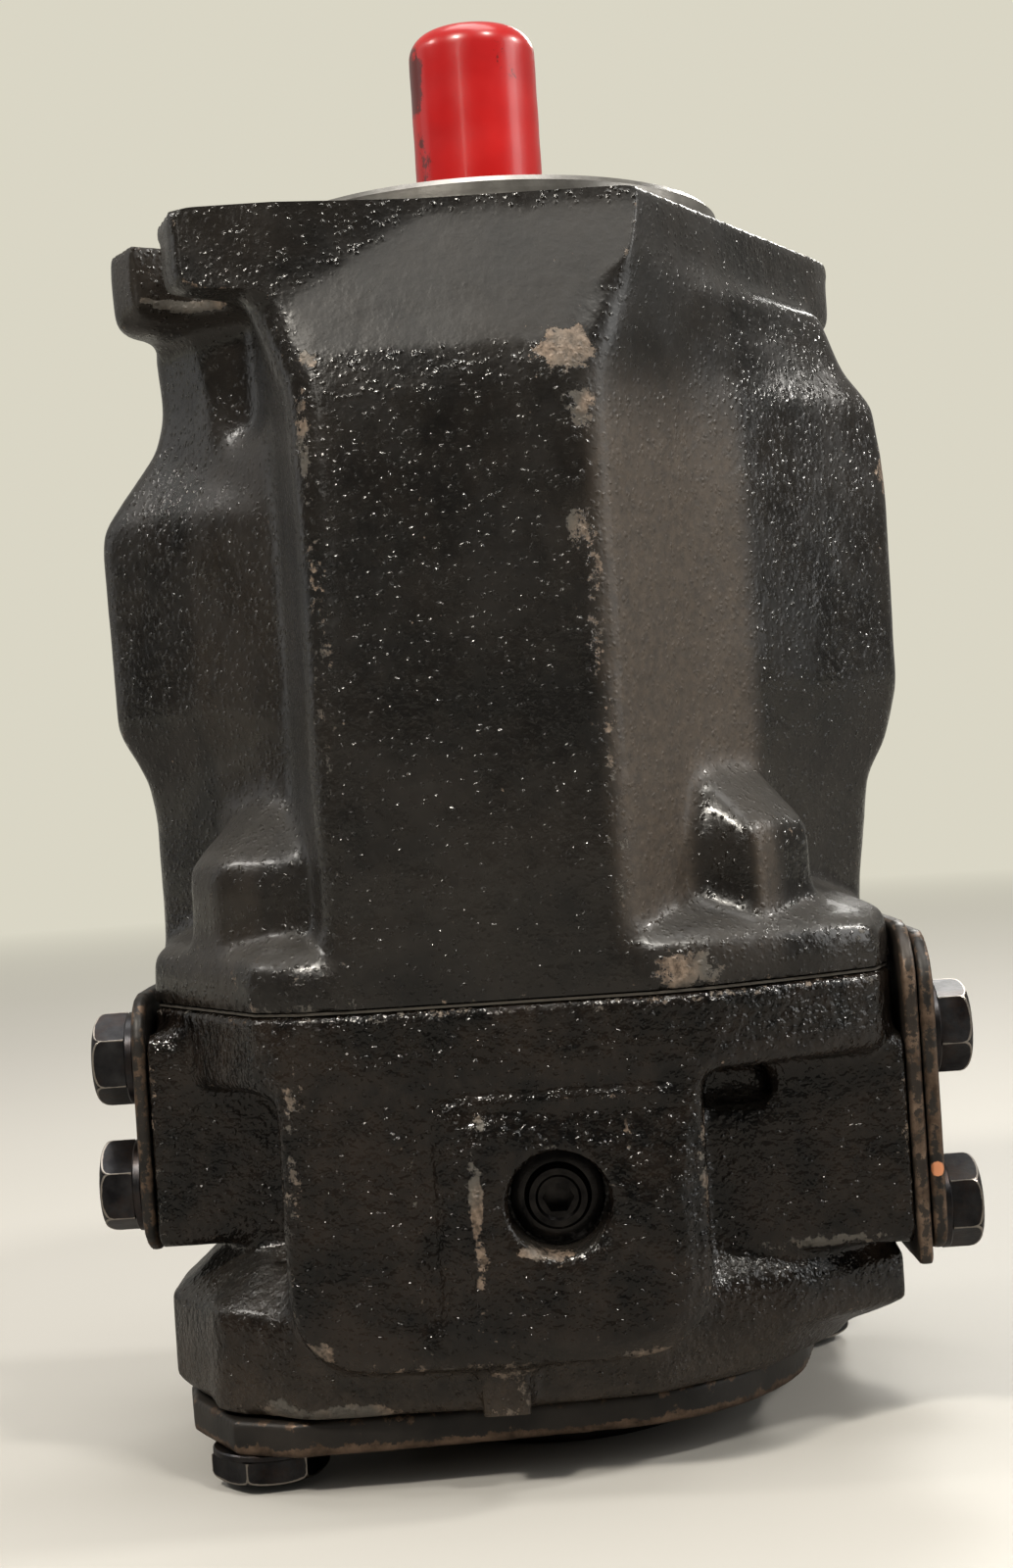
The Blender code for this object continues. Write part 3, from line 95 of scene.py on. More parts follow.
# Outlines of the rear cover's two ears: distance beyond the screw and beside it
COVER_EARS = (((0.5, -30.4), (7.6, -16.9), (10.9, 5.0), (4.3, 16.2), (-11.4, 26.9)),
              ((-2.6, -13.0), (7.0, -11.0), (13.0, 3.0), (5.0, 17.0), (-11.4, 26.9)))
COVER_DISC = 55.5
COVER_BOSS = 33.0
BOSS_HEIGHT = 8.0


def vec(x, y, z):
    return Vector((x, y, z)) * MM


# Mesh helpers

def arc(radius, start, end, steps, centre=(0.0, 0.0)):
    """Points on an arc, both ends counted."""
    points = []
    for i in range(steps + 1):
        angle = start + (end - start) * i / steps
        points.append((centre[0] + radius * math.cos(angle), centre[1] + radius * math.sin(angle)))
    return points


def circle(radius, steps, centre=(0.0, 0.0)):
    return arc(radius, 0.0, 2 * math.pi, steps, centre)[:-1]


def rounded_rectangle(left, right, low, high, radii, steps=8):
    """Outline whose corner radii start at the lower left and run on counterclockwise."""
    corners = ((left, low, 1, 1, math.pi), (right, low, -1, 1, 1.5 * math.pi), (right, high, -1, -1, 0.0),
               (left, high, 1, -1, 0.5 * math.pi))
    outline = []
    for (u, v, du, dv, start), radius in zip(corners, radii):
        outline += arc(radius, start, start + math.pi / 2, steps, (u + du * radius, v + dv * radius))
    return outline


def place(axis, u, v, w):
    """A point whose third measure runs along the axis."""
    if axis == "X":
        return vec(w, u, v)
    if axis == "Y":
        return vec(u, w, v)
    return vec(u, v, w)


def loft(bm, levels, axis="Z"):
    """Add a closed skin through (distance, outline) levels."""
    rings = [[bm.verts.new(place(axis, u, v, w)) for u, v in outline] for w, outline in levels]
    made = []
    for low, high in zip(rings, rings[1:]):
        for i in range(len(low)):
            j = (i + 1) % len(low)
            made.append(bm.faces.new((low[i], low[j], high[j], high[i])))
    made.append(bm.faces.new(list(reversed(rings[0]))))
    made.append(bm.faces.new(rings[-1]))
    bmesh.ops.recalc_face_normals(bm, faces=made)


def revolve(bm, profile, steps, centre=(0.0, 0.0), axis="Z"):
    """Add a solid turned from (radius, height) points; a profile off the axis makes a ring."""
    solid = profile[0][0] == 0 and profile[-1][0] == 0
    rings = []
    for radius, height in profile:
        if radius == 0:
            rings.append([bm.verts.new(place(axis, centre[0], centre[1], height))])
        else:
            rings.append([bm.verts.new(place(axis, u, v, height)) for u, v in circle(radius, steps, centre)])
    pairs = list(zip(rings, rings[1:]))
    if not solid:
        pairs.append((rings[-1], rings[0]))
    made = []
    for low, high in pairs:
        for i in range(steps):
            j = (i + 1) % steps
            if len(low) == 1:
                made.append(bm.faces.new((low[0], high[j], high[i])))
            elif len(high) == 1:
                made.append(bm.faces.new((low[i], low[j], high[0])))
            else:
                made.append(bm.faces.new((low[i], low[j], high[j], high[i])))
    bmesh.ops.recalc_face_normals(bm, faces=made)


def make_piece(name, bm, mat, body="casing", sharp=35.0):
    """Link a mesh as a smooth-shaded piece that rides its body."""
    mesh = bpy.data.meshes.new(name)
    bm.to_mesh(mesh)
    bm.free()
    mesh.shade_smooth()
    if sharp:
        mesh.set_sharp_from_angle(angle=math.radians(sharp))
    obj = bpy.data.objects.new(name, mesh)
    bpy.context.scene.collection.objects.link(obj)
    mesh.materials.append(mat)
    if body:
        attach(obj, body)
    return obj


def apply_modifiers(obj):
    bpy.context.view_layer.update()
    graph = bpy.context.evaluated_depsgraph_get()
    mesh = bpy.data.meshes.new_from_object(obj.evaluated_get(graph))
    obj.modifiers.clear()
    obj.data = mesh


def cad_bmesh(node):
    """The node's solid with its split corners welded again."""
    bm = bmesh.new()
    bm.from_mesh(NODES[node].data)
    bmesh.ops.remove_doubles(bm, verts=bm.verts, dist=1e-6)
    return bm


def coordinates(mesh):
    co = np.empty(len(mesh.vertices) * 3)
    mesh.vertices.foreach_get("co", co)
    return co.reshape(-1, 3)


def normals(mesh):
    out = np.empty(len(mesh.vertices) * 3)
    mesh.vertex_normals.foreach_get("vector", out)
    return out.reshape(-1, 3)


def store(mesh, co):
    mesh.vertices.foreach_set("co", co.ravel())
    mesh.update()


def edge_ends(mesh):
    ends = np.empty(len(mesh.edges) * 2, np.int64)
    mesh.edges.foreach_get("vertices", ends)
    return ends.reshape(-1, 2)


def neighbour_mean(co, ends):
    """The mean place of each point's neighbours."""
    count = len(co)
    degree = np.maximum(np.bincount(ends.ravel(), minlength=count), 1)
    total = np.empty_like(co)
    for k in range(3):
        total[:, k] = (np.bincount(ends[:, 0], weights=co[ends[:, 1], k], minlength=count)
                       + np.bincount(ends[:, 1], weights=co[ends[:, 0], k], minlength=count))
    return total / degree[:, None]


def relax(mesh, rounds, factor, keep):
    """Soften a dense mesh, less where keep nears 1."""
    co = coordinates(mesh)
    ends = edge_ends(mesh)
    free = (factor * (1.0 - keep))[:, None]
    for _ in range(rounds):
        co += (neighbour_mean(co, ends) - co) * free
    store(mesh, co)


def ripple(mesh, layers, free):
    """Push points along their normals by layered noise, given as (size, depth) in millimetres."""
    co = coordinates(mesh)
    push = np.zeros(len(co))
    for size, depth in layers:
        scaled = co / (size * MM)
        push += depth * MM * np.array([noise.noise(Vector(p)) for p in scaled])
    store(mesh, co + normals(mesh) * (push * free)[:, None])


def set_attribute(mesh, name, values):
    attribute = mesh.attributes.new(name, "FLOAT", "POINT")
    attribute.data.foreach_set("value", values.astype(np.float32))


def cut_with(obj, bm, operation="DIFFERENCE"):
    """Cut a dense mesh with a crisp tool."""
    mesh = bpy.data.meshes.new("tool")
    bm.to_mesh(mesh)
    bm.free()
    tool = bpy.data.objects.new("tool", mesh)
    bpy.context.scene.collection.objects.link(tool)
    mod = obj.modifiers.new("cut", "BOOLEAN")
    mod.operation = operation
    mod.solver = "MANIFOLD"
    mod.object = tool
    apply_modifiers(obj)
    bpy.data.objects.remove(tool)
    bpy.data.meshes.remove(mesh)


def smooth_step(values, low, high):
    t = np.clip((values - low) / (high - low), 0.0, 1.0)
    return t * t * (3 - 2 * t)


def turned_point(turn, reach, side=0.0):
    """A point on a bolt line turned from the X axis; its front end is on the left."""
    along = Vector((-math.cos(turn), -math.sin(turn)))
    across = Vector((math.sin(turn), -math.cos(turn)))
    point = along * reach + across * side
    return point.x, point.y


def node_range(node):
    """Lowest and highest corner of a solid in millimetres."""
    low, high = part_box(node)
    return np.array(low) / MM, np.array(high) / MM


# Materials

class Nodes:
    """A small builder for the nodes of a world or a material."""

    def __init__(self, owner):
        owner.use_nodes = True
        self.tree = owner.node_tree

    def node(self, kind, inputs=None, **settings):
        made = self.tree.nodes.new(kind)
        for key, value in settings.items():
            setattr(made, key, value)
        for key, value in (inputs or {}).items():
            self.put(made.inputs[key], value)
        return made

    def put(self, socket, value):
        if isinstance(value, bpy.types.NodeSocket):
            self.tree.links.new(value, socket)
        else:
            socket.default_value = value

    def math(self, operation, a, b=0.0):
        return self.node("ShaderNodeMath", {0: a, 1: b}, operation=operation).outputs[0]

    def remap(self, value, low, high, to_low=0.0, to_high=1.0):
        made = self.node("ShaderNodeMapRange", {"Value": value, "From Min": low, "From Max": high,
                                                "To Min": to_low, "To Max": to_high})
        return made.outputs["Result"]

    def mix_shaders(self, factor, a, b):
        return self.node("ShaderNodeMixShader", {0: factor, 1: a, 2: b}).outputs[0]


class Material(Nodes):
    """The nodes of one material, with object coordinates at hand."""

    def __init__(self, name):
        self.mat = bpy.data.materials.new(name)
        super().__init__(self.mat)
        self.shader = self.tree.nodes["Principled BSDF"]
        self.coords = self.node("ShaderNodeTexCoord").outputs["Object"]

    def noise(self, scale, detail=3.0, rough=0.55, vector=None):
        made = self.node("ShaderNodeTexNoise", {"Vector": vector or self.coords, "Scale": scale,
                                                "Detail": detail, "Roughness": rough})
        return made.outputs["Fac"]

    def mix(self, factor, a, b):
        return self.node("ShaderNodeMix", {0: factor, 6: a, 7: b}, data_type="RGBA").outputs[2]

    def blend_values(self, factor, a, b):
        return self.node("ShaderNodeMix", {0: factor, 2: a, 3: b}, data_type="FLOAT").outputs[0]

    def attribute(self, name):
        return self.node("ShaderNodeAttribute", attribute_name=name).outputs["Fac"]

    def bump(self, height, distance, normal=None):
        inputs = {"Height": height, "Distance": distance, "Strength": 1.0}
        if normal is not None:
            inputs["Normal"] = normal
        return self.node("ShaderNodeBump", inputs).outputs["Normal"]

    def finish(self, colour, roughness, metallic=0.0, normal=None, **constants):
        self.put(self.shader.inputs["Base Color"], colour)
        self.put(self.shader.inputs["Roughness"], roughness)
        self.put(self.shader.inputs["Metallic"], metallic)
        if normal is not None:
            self.put(self.shader.inputs["Normal"], normal)
        for key, value in constants.items():
            self.shader.inputs[key.replace("_", " ")].default_value = value
        return self.mat


def rgb(r, g, b):
    return (r, g, b, 1.0)


# Pebbles of the casting paint: cells per metre, and how far in metres noise moves them about
PEBBLE_CELLS = 800.0
PEBBLE_DRIFT = 0.0011


def cast_paint(name, dark, light, mottle, pebble_depth, grit, crease, wave_depth, gloss, shine):
    """Black paint on a sand casting: scattered shining pebbles, dust and a painted brown sheen, grime, and
    chips down to the metal, some of which are painted highlights.
    """
    g = Material(name)
    wear = g.attribute("wear")
    satin = g.attribute("satin")
    black = g.mix(g.remap(g.noise(mottle, 8.0, 0.72), 0.40, 0.62), rgb(*dark), rgb(*light))
    fine = g.remap(g.noise(430.0, 6.0, 0.72), 0.30, 0.66, 0.35, 1.0)
    # Dust colour, which also paints a brown sheen on the lit slanted faces right of the panel
    dust_and_sheen_colour = g.mix(g.math("MULTIPLY", g.attribute("dust_and_sheen"), fine), black, rgb(0.068, 0.050, 0.035))
    grimy = g.mix(g.math("MULTIPLY", g.attribute("grime"), fine), dust_and_sheen_colour, rgb(0.052, 0.047, 0.040))
    ragged = g.remap(g.noise(330.0, 9.0, 0.78), 0.33, 0.67)
    # Chips show the metal; some of the wear spots are painted highlights in the same colour
    chip_and_highlight = g.remap(g.math("SUBTRACT", wear, ragged), 0.0, 0.06)
    speck = g.remap(g.noise(560.0, 3.0, 0.6), 0.735, 0.75)
    bare = g.math("MAXIMUM", chip_and_highlight, g.math("MULTIPLY", speck, 0.7))
    tan = g.mix(g.remap(g.noise(480.0, 6.0, 0.7), 0.38, 0.62), rgb(0.060, 0.042, 0.030),
                rgb(0.300, 0.225, 0.170))
    metal = g.mix(g.remap(g.noise(55.0, 3.0), 0.42, 0.58), tan, rgb(0.105, 0.096, 0.084))
    colour = g.mix(bare, grimy, metal)
    drift = g.node("ShaderNodeTexNoise", {"Vector": g.coords, "Scale": 900.0, "Detail": 2.0}).outputs["Color"]
    uneven = g.node("ShaderNodeVectorMath", {0: drift, 1: (PEBBLE_DRIFT,) * 3, 2: g.coords},
                    operation="MULTIPLY_ADD").outputs["Vector"]
    cells = g.node("ShaderNodeTexVoronoi", {"Vector": uneven, "Scale": PEBBLE_CELLS})
    chance = g.node("ShaderNodeSeparateColor", {"Color": cells.outputs["Color"]}).outputs["Red"]
    dome = g.node("ShaderNodeMapRange", {"Value": cells.outputs["Distance"], "From Min": 0.0,
                                         "From Max": 0.58, "To Min": 1.0, "To Max": 0.0},
                  interpolation_type="SMOOTHSTEP")
    pebble = g.math("MULTIPLY", dome.outputs["Result"], g.remap(chance, 0.15, 1.0, 0.0, 1.0))
    rough_grit = g.math("MULTIPLY", g.noise(1250.0, 4.0, 0.65), grit)
    creases = g.math("MULTIPLY", g.noise(480.0, 2.0, 0.55), crease)
    standing = g.math("MULTIPLY", pebble, g.remap(satin, 0.0, 1.0, 1.0, 0.06))
    grain = g.math("MULTIPLY", g.math("ADD", rough_grit, creases), g.remap(satin, 0.0, 1.0, 1.0, 0.55))
    softened = g.math("ADD", standing, grain)
    lowered = g.math("SUBTRACT", softened, g.math("MULTIPLY", bare, 0.35))
    patches = g.remap(g.noise(mottle * 1.4, 7.0, 0.7), 0.40, 0.62, -0.06, 0.10)
    shining = g.math("MULTIPLY", g.remap(standing, 0.07, 0.4), -0.20)
    rough_paint = g.math("ADD", g.math("ADD", g.math("ADD", gloss, patches), shining),
                         g.math("MULTIPLY", satin, 0.22))
    dirt_and_sheen = g.math("MAXIMUM", g.attribute("dust_and_sheen"), g.attribute("grime"))
    rough_dusty = g.blend_values(dirt_and_sheen, rough_paint, 0.60)
    rough = g.math("MAXIMUM", g.blend_values(bare, rough_dusty, 0.50), 0.06)
    waves = g.bump(g.noise(110.0, 2.0, 0.4), wave_depth)
    normal = g.bump(lowered, pebble_depth, waves)
    return g.finish(colour, rough, g.math("MULTIPLY", bare, 0.35), normal, Coat_Weight=0.10,
                    Coat_Roughness=0.05, Specular_IOR_Level=shine)


def metal_finish(name, dark, light, roughness, scale, rust=0.0, streak=None, edge=None):
    """Bare or oxide-finished steel with mottling, faint rust, turning marks or bright worn edges that also
    paint highlight lines.
    """
    g = Material(name)
    mottled = g.mix(g.remap(g.noise(scale, 5.0, 0.6), 0.32, 0.7), rgb(*dark), rgb(*light))
    if rust:
        mask = g.math("MULTIPLY", g.remap(g.noise(scale * 0.6, 6.0, 0.7), 0.5, 0.72), rust)
        mottled = g.mix(mask, mottled, rgb(0.13, 0.062, 0.028))
    # Worn edges lightened, partly real wear and partly painted highlights
    if edge:
        worn = g.remap(g.math("SUBTRACT", g.attribute("wear"), g.noise(310.0, 5.0, 0.7)), -0.02, 0.16)
        mottled = g.mix(worn, mottled, rgb(*edge))
    height = g.noise(scale * 9.0, 3.0)
    if streak:
        stretched = g.node("ShaderNodeMapping", {"Vector": g.coords, "Scale": streak}).outputs["Vector"]
        height = g.math("ADD", height, g.math("MULTIPLY", g.noise(1.0, 2.0, 0.5, stretched), 1.5))
    rough = g.math("ADD", roughness - 0.08, g.math("MULTIPLY", g.noise(scale * 1.7, 4.0), 0.18))
    return g.finish(mottled, rough, 1.0, g.bump(height, 0.00003))


def plate_finish(name, base_dark, base_light, worn_dark, worn_light):
    """Oxide plate worn to brown and bare metal at its edges, with one coppery fleck."""
    g = Material(name)
    base = g.mix(g.remap(g.noise(60.0, 6.0, 0.65), 0.35, 0.68), rgb(*base_dark), rgb(*base_light))
    worn = g.mix(g.remap(g.noise(190.0, 6.0, 0.7), 0.36, 0.64), rgb(*worn_dark), rgb(*worn_light))
    ragged = g.remap(g.noise(210.0, 8.0, 0.72), 0.28, 0.72)
    chip_and_highlight = g.remap(g.math("SUBTRACT", g.attribute("wear"), ragged), 0.0, 0.10)
    fleck = g.math("SUBTRACT", g.attribute("copper"), g.math("MULTIPLY", g.noise(500.0, 3.0), 0.3))
    copper = g.remap(fleck, 0.2, 0.3)
    colour = g.mix(copper, g.mix(chip_and_highlight, base, worn), rgb(0.62, 0.25, 0.12))
    rough = g.blend_values(chip_and_highlight, g.math("ADD", 0.28, g.math("MULTIPLY", g.noise(90.0, 5.0), 0.30)), 0.46)
    relief = g.math("ADD", g.math("MULTIPLY", g.noise(640.0, 4.0), 0.6), g.noise(70.0, 2.0))
    return g.finish(colour, rough, g.blend_values(chip_and_highlight, 0.20, 0.70), g.bump(relief, 0.00007))


def vinyl_finish(name):
    """Dipped red vinyl with a soft sheen, faint runs and one rubbed yellow mark."""
    g = Material(name)
    base = g.mix(g.remap(g.noise(45.0, 3.0), 0.35, 0.7), rgb(0.40, 0.0035, 0.0045), rgb(0.54, 0.0080, 0.0075))
    mark = g.math("SUBTRACT", g.attribute("mark"), g.math("MULTIPLY", g.noise(170.0, 5.0), 0.9))
    mask = g.remap(mark, 0.0, 0.35, 0.0, 0.8)
    scuffs = g.attribute("scuff")
    ragged = g.remap(g.noise(260.0, 8.0, 0.74), 0.3, 0.7)
    dull = g.remap(g.math("SUBTRACT", scuffs, ragged), 0.0, 0.12, 0.0, 0.85)
    colour = g.mix(mask, base, rgb(0.55, 0.17, 0.02))
    colour = g.mix(dull, colour, rgb(0.045, 0.006, 0.005))
    drawn = g.node("ShaderNodeMapping", {"Vector": g.coords, "Scale": (90.0, 90.0, 14.0)}).outputs["Vector"]
    height = g.math("ADD", g.noise(1.0, 2.0, 0.5, drawn), g.math("MULTIPLY", g.noise(700.0, 2.0), 0.12))
    rough = g.math("ADD", 0.22, g.math("MULTIPLY", g.noise(110.0, 4.0), 0.18))
    return g.finish(colour, rough, 0.0, g.bump(height, 0.00008), Coat_Weight=0.25, Coat_Roughness=0.12)


def rubber_finish(name):
    g = Material(name)
    colour = g.mix(g.noise(150.0, 4.0), rgb(0.010, 0.010, 0.011), rgb(0.03, 0.03, 0.03))
    return g.finish(colour, g.math("ADD", 0.35, g.math("MULTIPLY", g.noise(90.0), 0.25)), 0.0,
                    g.bump(g.noise(900.0), 0.00004))


def fibre_finish(name):
    g = Material(name)
    colour = g.mix(g.noise(420.0, 5.0), rgb(0.018, 0.016, 0.014), rgb(0.075, 0.064, 0.050))
    return g.finish(colour, 0.8, 0.0, g.bump(g.noise(1500.0), 0.00008))


# Wear on the castings, some spots of which are painted highlights: centre and half sizes in millimetres,
# strength
HOUSING_CHIPS_AND_HIGHLIGHTS = (
    ((13.8, -70.5, 217.6), (7.4, 5.0, 5.6), 0.94), ((15.9, -71.0, 206.3), (3.6, 5.0, 6.4), 0.70),
    ((14.0, -72.0, 183.2), (2.8, 4.0, 5.4), 0.74), ((16.5, -72.0, 170.0), (2.4, 4.0, 26.0), 0.42),
    ((18.0, -71.0, 130.0), (3.0, 4.0, 30.0), 0.36), ((-34.8, -69.0, 218.5), (3.0, 4.0, 2.8), 0.74),
    # The first spot here paints glints on the panel's left edge as bare metal: a painted highlight
    ((-36.0, -71.0, 165.0), (3.2, 4.0, 42.0), 0.38), ((-37.0, -71.0, 205.0), (2.6, 4.0, 13.0), 0.52),
    # These two spots on the right bulge's edge paint a bright streak: a painted highlight
    ((84.5, 2.0, 198.0), (4.0, 22.0, 7.0), 0.74), ((86.5, 0.0, 178.0), (4.0, 26.0, 18.0), 0.46),
    ((28.7, -68.5, 98.6), (9.6, 7.0, 4.8), 0.80), ((64.3, -46.0, 101.3), (5.6, 8.0, 4.4), 0.80),
    ((-64.1, -58.0, 100.6), (9.5, 8.0, 4.8), 0.68), ((-78.0, -14.0, 100.0), (3.0, 16.0, 4.0), 0.56))
BLOCK_CHIPS_AND_HIGHLIGHTS = (
    ((-13.4, -73.0, 58.5), (1.9, 3.0, 9.6), 0.84), ((-13.0, -73.0, 46.0), (1.8, 3.0, 6.5), 0.66),
    ((-12.0, -72.0, 73.0), (2.4, 3.0, 2.8), 0.62), ((16.3, -72.4, 70.6), (2.0, 3.0, 7.0), 0.52),
    ((-45.2, -69.0, 30.4), (4.6, 6.0, 3.2), 0.78), ((18.7, -70.0, 25.7), (11.0, 4.5, 3.0), 0.74),
    ((-20.0, -70.0, 25.6), (24.0, 3.0, 2.0), 0.50), ((-47.0, -68.5, 78.0), (3.4, 5.0, 10.0), 0.46),
    # The second spot here paints the bright line along the right boss's lower edge: a painted highlight
    ((-48.2, -68.5, 62.0), (2.8, 5.0, 12.0), 0.46), ((56.3, -48.5, 40.7), (18.0, 4.0, 2.4), 0.70),
    ((-53.0, -58.0, 17.2), (6.0, 8.0, 3.4), 1.10), ((-39.9, -61.0, 16.4), (11.0, 8.0, 3.0), 1.10),
    ((-9.3, -66.0, 24.0), (6.0, 4.0, 2.6), 0.56), ((-0.9, -71.5, 47.4), (9.0, 2.4, 2.2), 0.80),
    ((30.5, -68.0, 62.0), (2.6, 5.0, 18.0), 0.42), ((40.0, -58.0, 16.5), (22.0, 6.0, 2.2), 0.66))


def spot_field(co, spots):
    """The strongest of several soft spots at each point."""
    field = np.zeros(len(co))
    for centre, half, strength in spots:
        offset = (co / MM - np.array(centre)) / np.array(half)
        field = np.maximum(field, strength * (1.0 - smooth_step(np.linalg.norm(offset, axis=1), 0.35, 1.25)))
    return field


def convex_edges(mesh, rounds=3):
    """How far each point stands proud of its surroundings, from 0 to 1."""
    co = coordinates(mesh)
    ends = edge_ends(mesh)
    smooth = co
    for _ in range(rounds):
        smooth = neighbour_mean(smooth, ends)
    proud = np.einsum("ij,ij->i", co - smooth, normals(mesh)) / MM
    return np.clip(proud / PROUD, 0.0, 1.0)


def make_skin(name, node, crisp, rounds, layers):
    """A cast surface: the node's solid remeshed finely, softened and roughened."""
    bm = cad_bmesh(node)
    mesh = bpy.data.meshes.new(name)
    bm.to_mesh(mesh)
    bm.free()
    skin = bpy.data.objects.new(name, mesh)
    bpy.context.scene.collection.objects.link(skin)
    mod = skin.modifiers.new("remesh", "REMESH")
    mod.mode = "VOXEL"
    mod.voxel_size = SKIN_VOXEL * MM
    apply_modifiers(skin)
    keep = crisp(coordinates(skin.data) / MM)
    relax(skin.data, rounds, 0.6, keep)
    ripple(skin.data, layers, 1.0 - keep)
    return skin


def finish_skin(skin, chips_and_highlights, fields, mat):
    """Store the skin's wear and dirt, with the painted highlights and painted sheen among them, as attributes
    and let it ride the casing.
    """
    mesh = skin.data
    co = coordinates(mesh)
    normal = normals(mesh)
    wear = np.maximum(spot_field(co, chips_and_highlights), 0.34 * convex_edges(mesh))
    for attribute, values in fields(co / MM, normal, wear).items():
        set_attribute(mesh, attribute, values)
    mesh.shade_smooth()
    mesh.set_sharp_from_angle(angle=math.radians(50.0))
    mesh.materials.clear()
    mesh.materials.append(mat)
    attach(skin, "casing")


def near(values, low, high, soft):
    """1 between low and high, falling to 0 over soft on both sides."""
    return smooth_step(values, low - soft, low) * (1.0 - smooth_step(values, high, high + soft))


def housing_crisp(mm):
    """Machined and thin places keep their corners."""
    keep = np.where(np.hypot(mm[:, 0], mm[:, 1]) < 30.0, 1.0, 0.0)
    keep = np.maximum(keep, 0.86 * near(mm[:, 2], FLANGE_TOP - 2.6, FLANGE_TOP + 2.0, 2.0))
    keep = np.maximum(keep, 0.93 * near(mm[:, 2], HOUSING_LOW - 1.0, HOUSING_LOW + 2.0, 1.6))
    return np.maximum(keep, 0.45 * near(mm[:, 2], HOUSING_LOW, HOUSING_LOW + 13.0, 2.0))


def slope_and_edge(mm):
    """Depth of the slope above the panel and of the flange's turned edge."""
    slope = PANEL_Y + SLOPE_LEAN * (mm[:, 2] - SLOPE_FOOT)
    edge = EDGE_Y + EDGE_TURN * np.clip(mm[:, 0] - EDGE_LEFT, 0.0, EDGE_LENGTH)
    return slope, edge


def housing_fields(mm, normal, wear):
    """Painted brown sheen on the faces right of the panel that turn to the front and right, a little dust in
    the hollows under the ears, grey grime on ledges, satin slopes and bare slots.
    """
    # Faces turned to the front and right get a painted brown sheen, carried with the dust
    slanted = np.clip(normal[:, 0] * 0.75 - normal[:, 1] * 0.66, 0.0, 1.0) ** 4
    slanted *= near(mm[:, 0], 20.0, 46.0, 6.0) * (mm[:, 1] < -25.0)
    dust_and_sheen = 0.95 * slanted * near(mm[:, 2], 116.0, 196.0, 26.0)
    ledges = smooth_step(normal[:, 2], 0.35, 0.75) * near(mm[:, 2], 100.0, 150.0, 6.0)
    sloped = smooth_step(normal[:, 2], 0.10, 0.24) * near(mm[:, 2], 221.0, 252.0, 3.0)
    sloped *= mm[:, 1] < -56.0
    slope, edge = slope_and_edge(mm)
    sloped *= smooth_step(edge - slope, 0.3, 1.5)
    satin = np.maximum(sloped * near(mm[:, 0], -36.0, 27.0, 4.0), 0.45 * slanted)
    along = np.abs(-math.cos(FLANGE_TURN) * mm[:, 0] - math.sin(FLANGE_TURN) * mm[:, 1])
    across = math.sin(FLANGE_TURN) * mm[:, 0] - math.cos(FLANGE_TURN) * mm[:, 1]
    hole = np.hypot(np.maximum(BOLT_REACH - along, 0.0), across)
    slot = (hole < SLOT_RADIUS + 0.45) & (along > BOLT_REACH - SLOT_RADIUS - 2.0)
    bare = slot & (mm[:, 2] > FLANGE_LOW - 5.0) & (mm[:, 2] < FLANGE_LOW + 4.8)
    hollow = 1.0 - smooth_step(np.hypot(along - BOLT_REACH - HOLLOW_REACH, across), *HOLLOW_RADII)
    satin = np.maximum(satin, 0.5 * hollow * near(mm[:, 2], 196.0, FLANGE_LOW, 4.0))
    wear = np.where(bare, 1.3, np.where(slot, 0.15, wear * (1.0 - 0.8 * hollow)))
    return {"wear": wear, "dust_and_sheen": np.maximum(dust_and_sheen, 0.15 * hollow), "grime": 0.55 * ledges, "satin": satin}


def slope_front(mm):
    """The slope above the panel runs on to the flange's top and meets its turned edge along a diagonal."""
    x, y, z = mm.T
    slope, edge = slope_and_edge(mm)
    fillet = 0.12 * np.clip(2.0 - np.abs(slope - edge), 0.0, 2.0) ** 2
    surface = np.minimum(slope, edge) - fillet
    share = smooth_step(z, 224.0, 230.0) * (y < -56.0) * (x < 34.0)
    return y + share * (np.maximum(y, surface) - y)


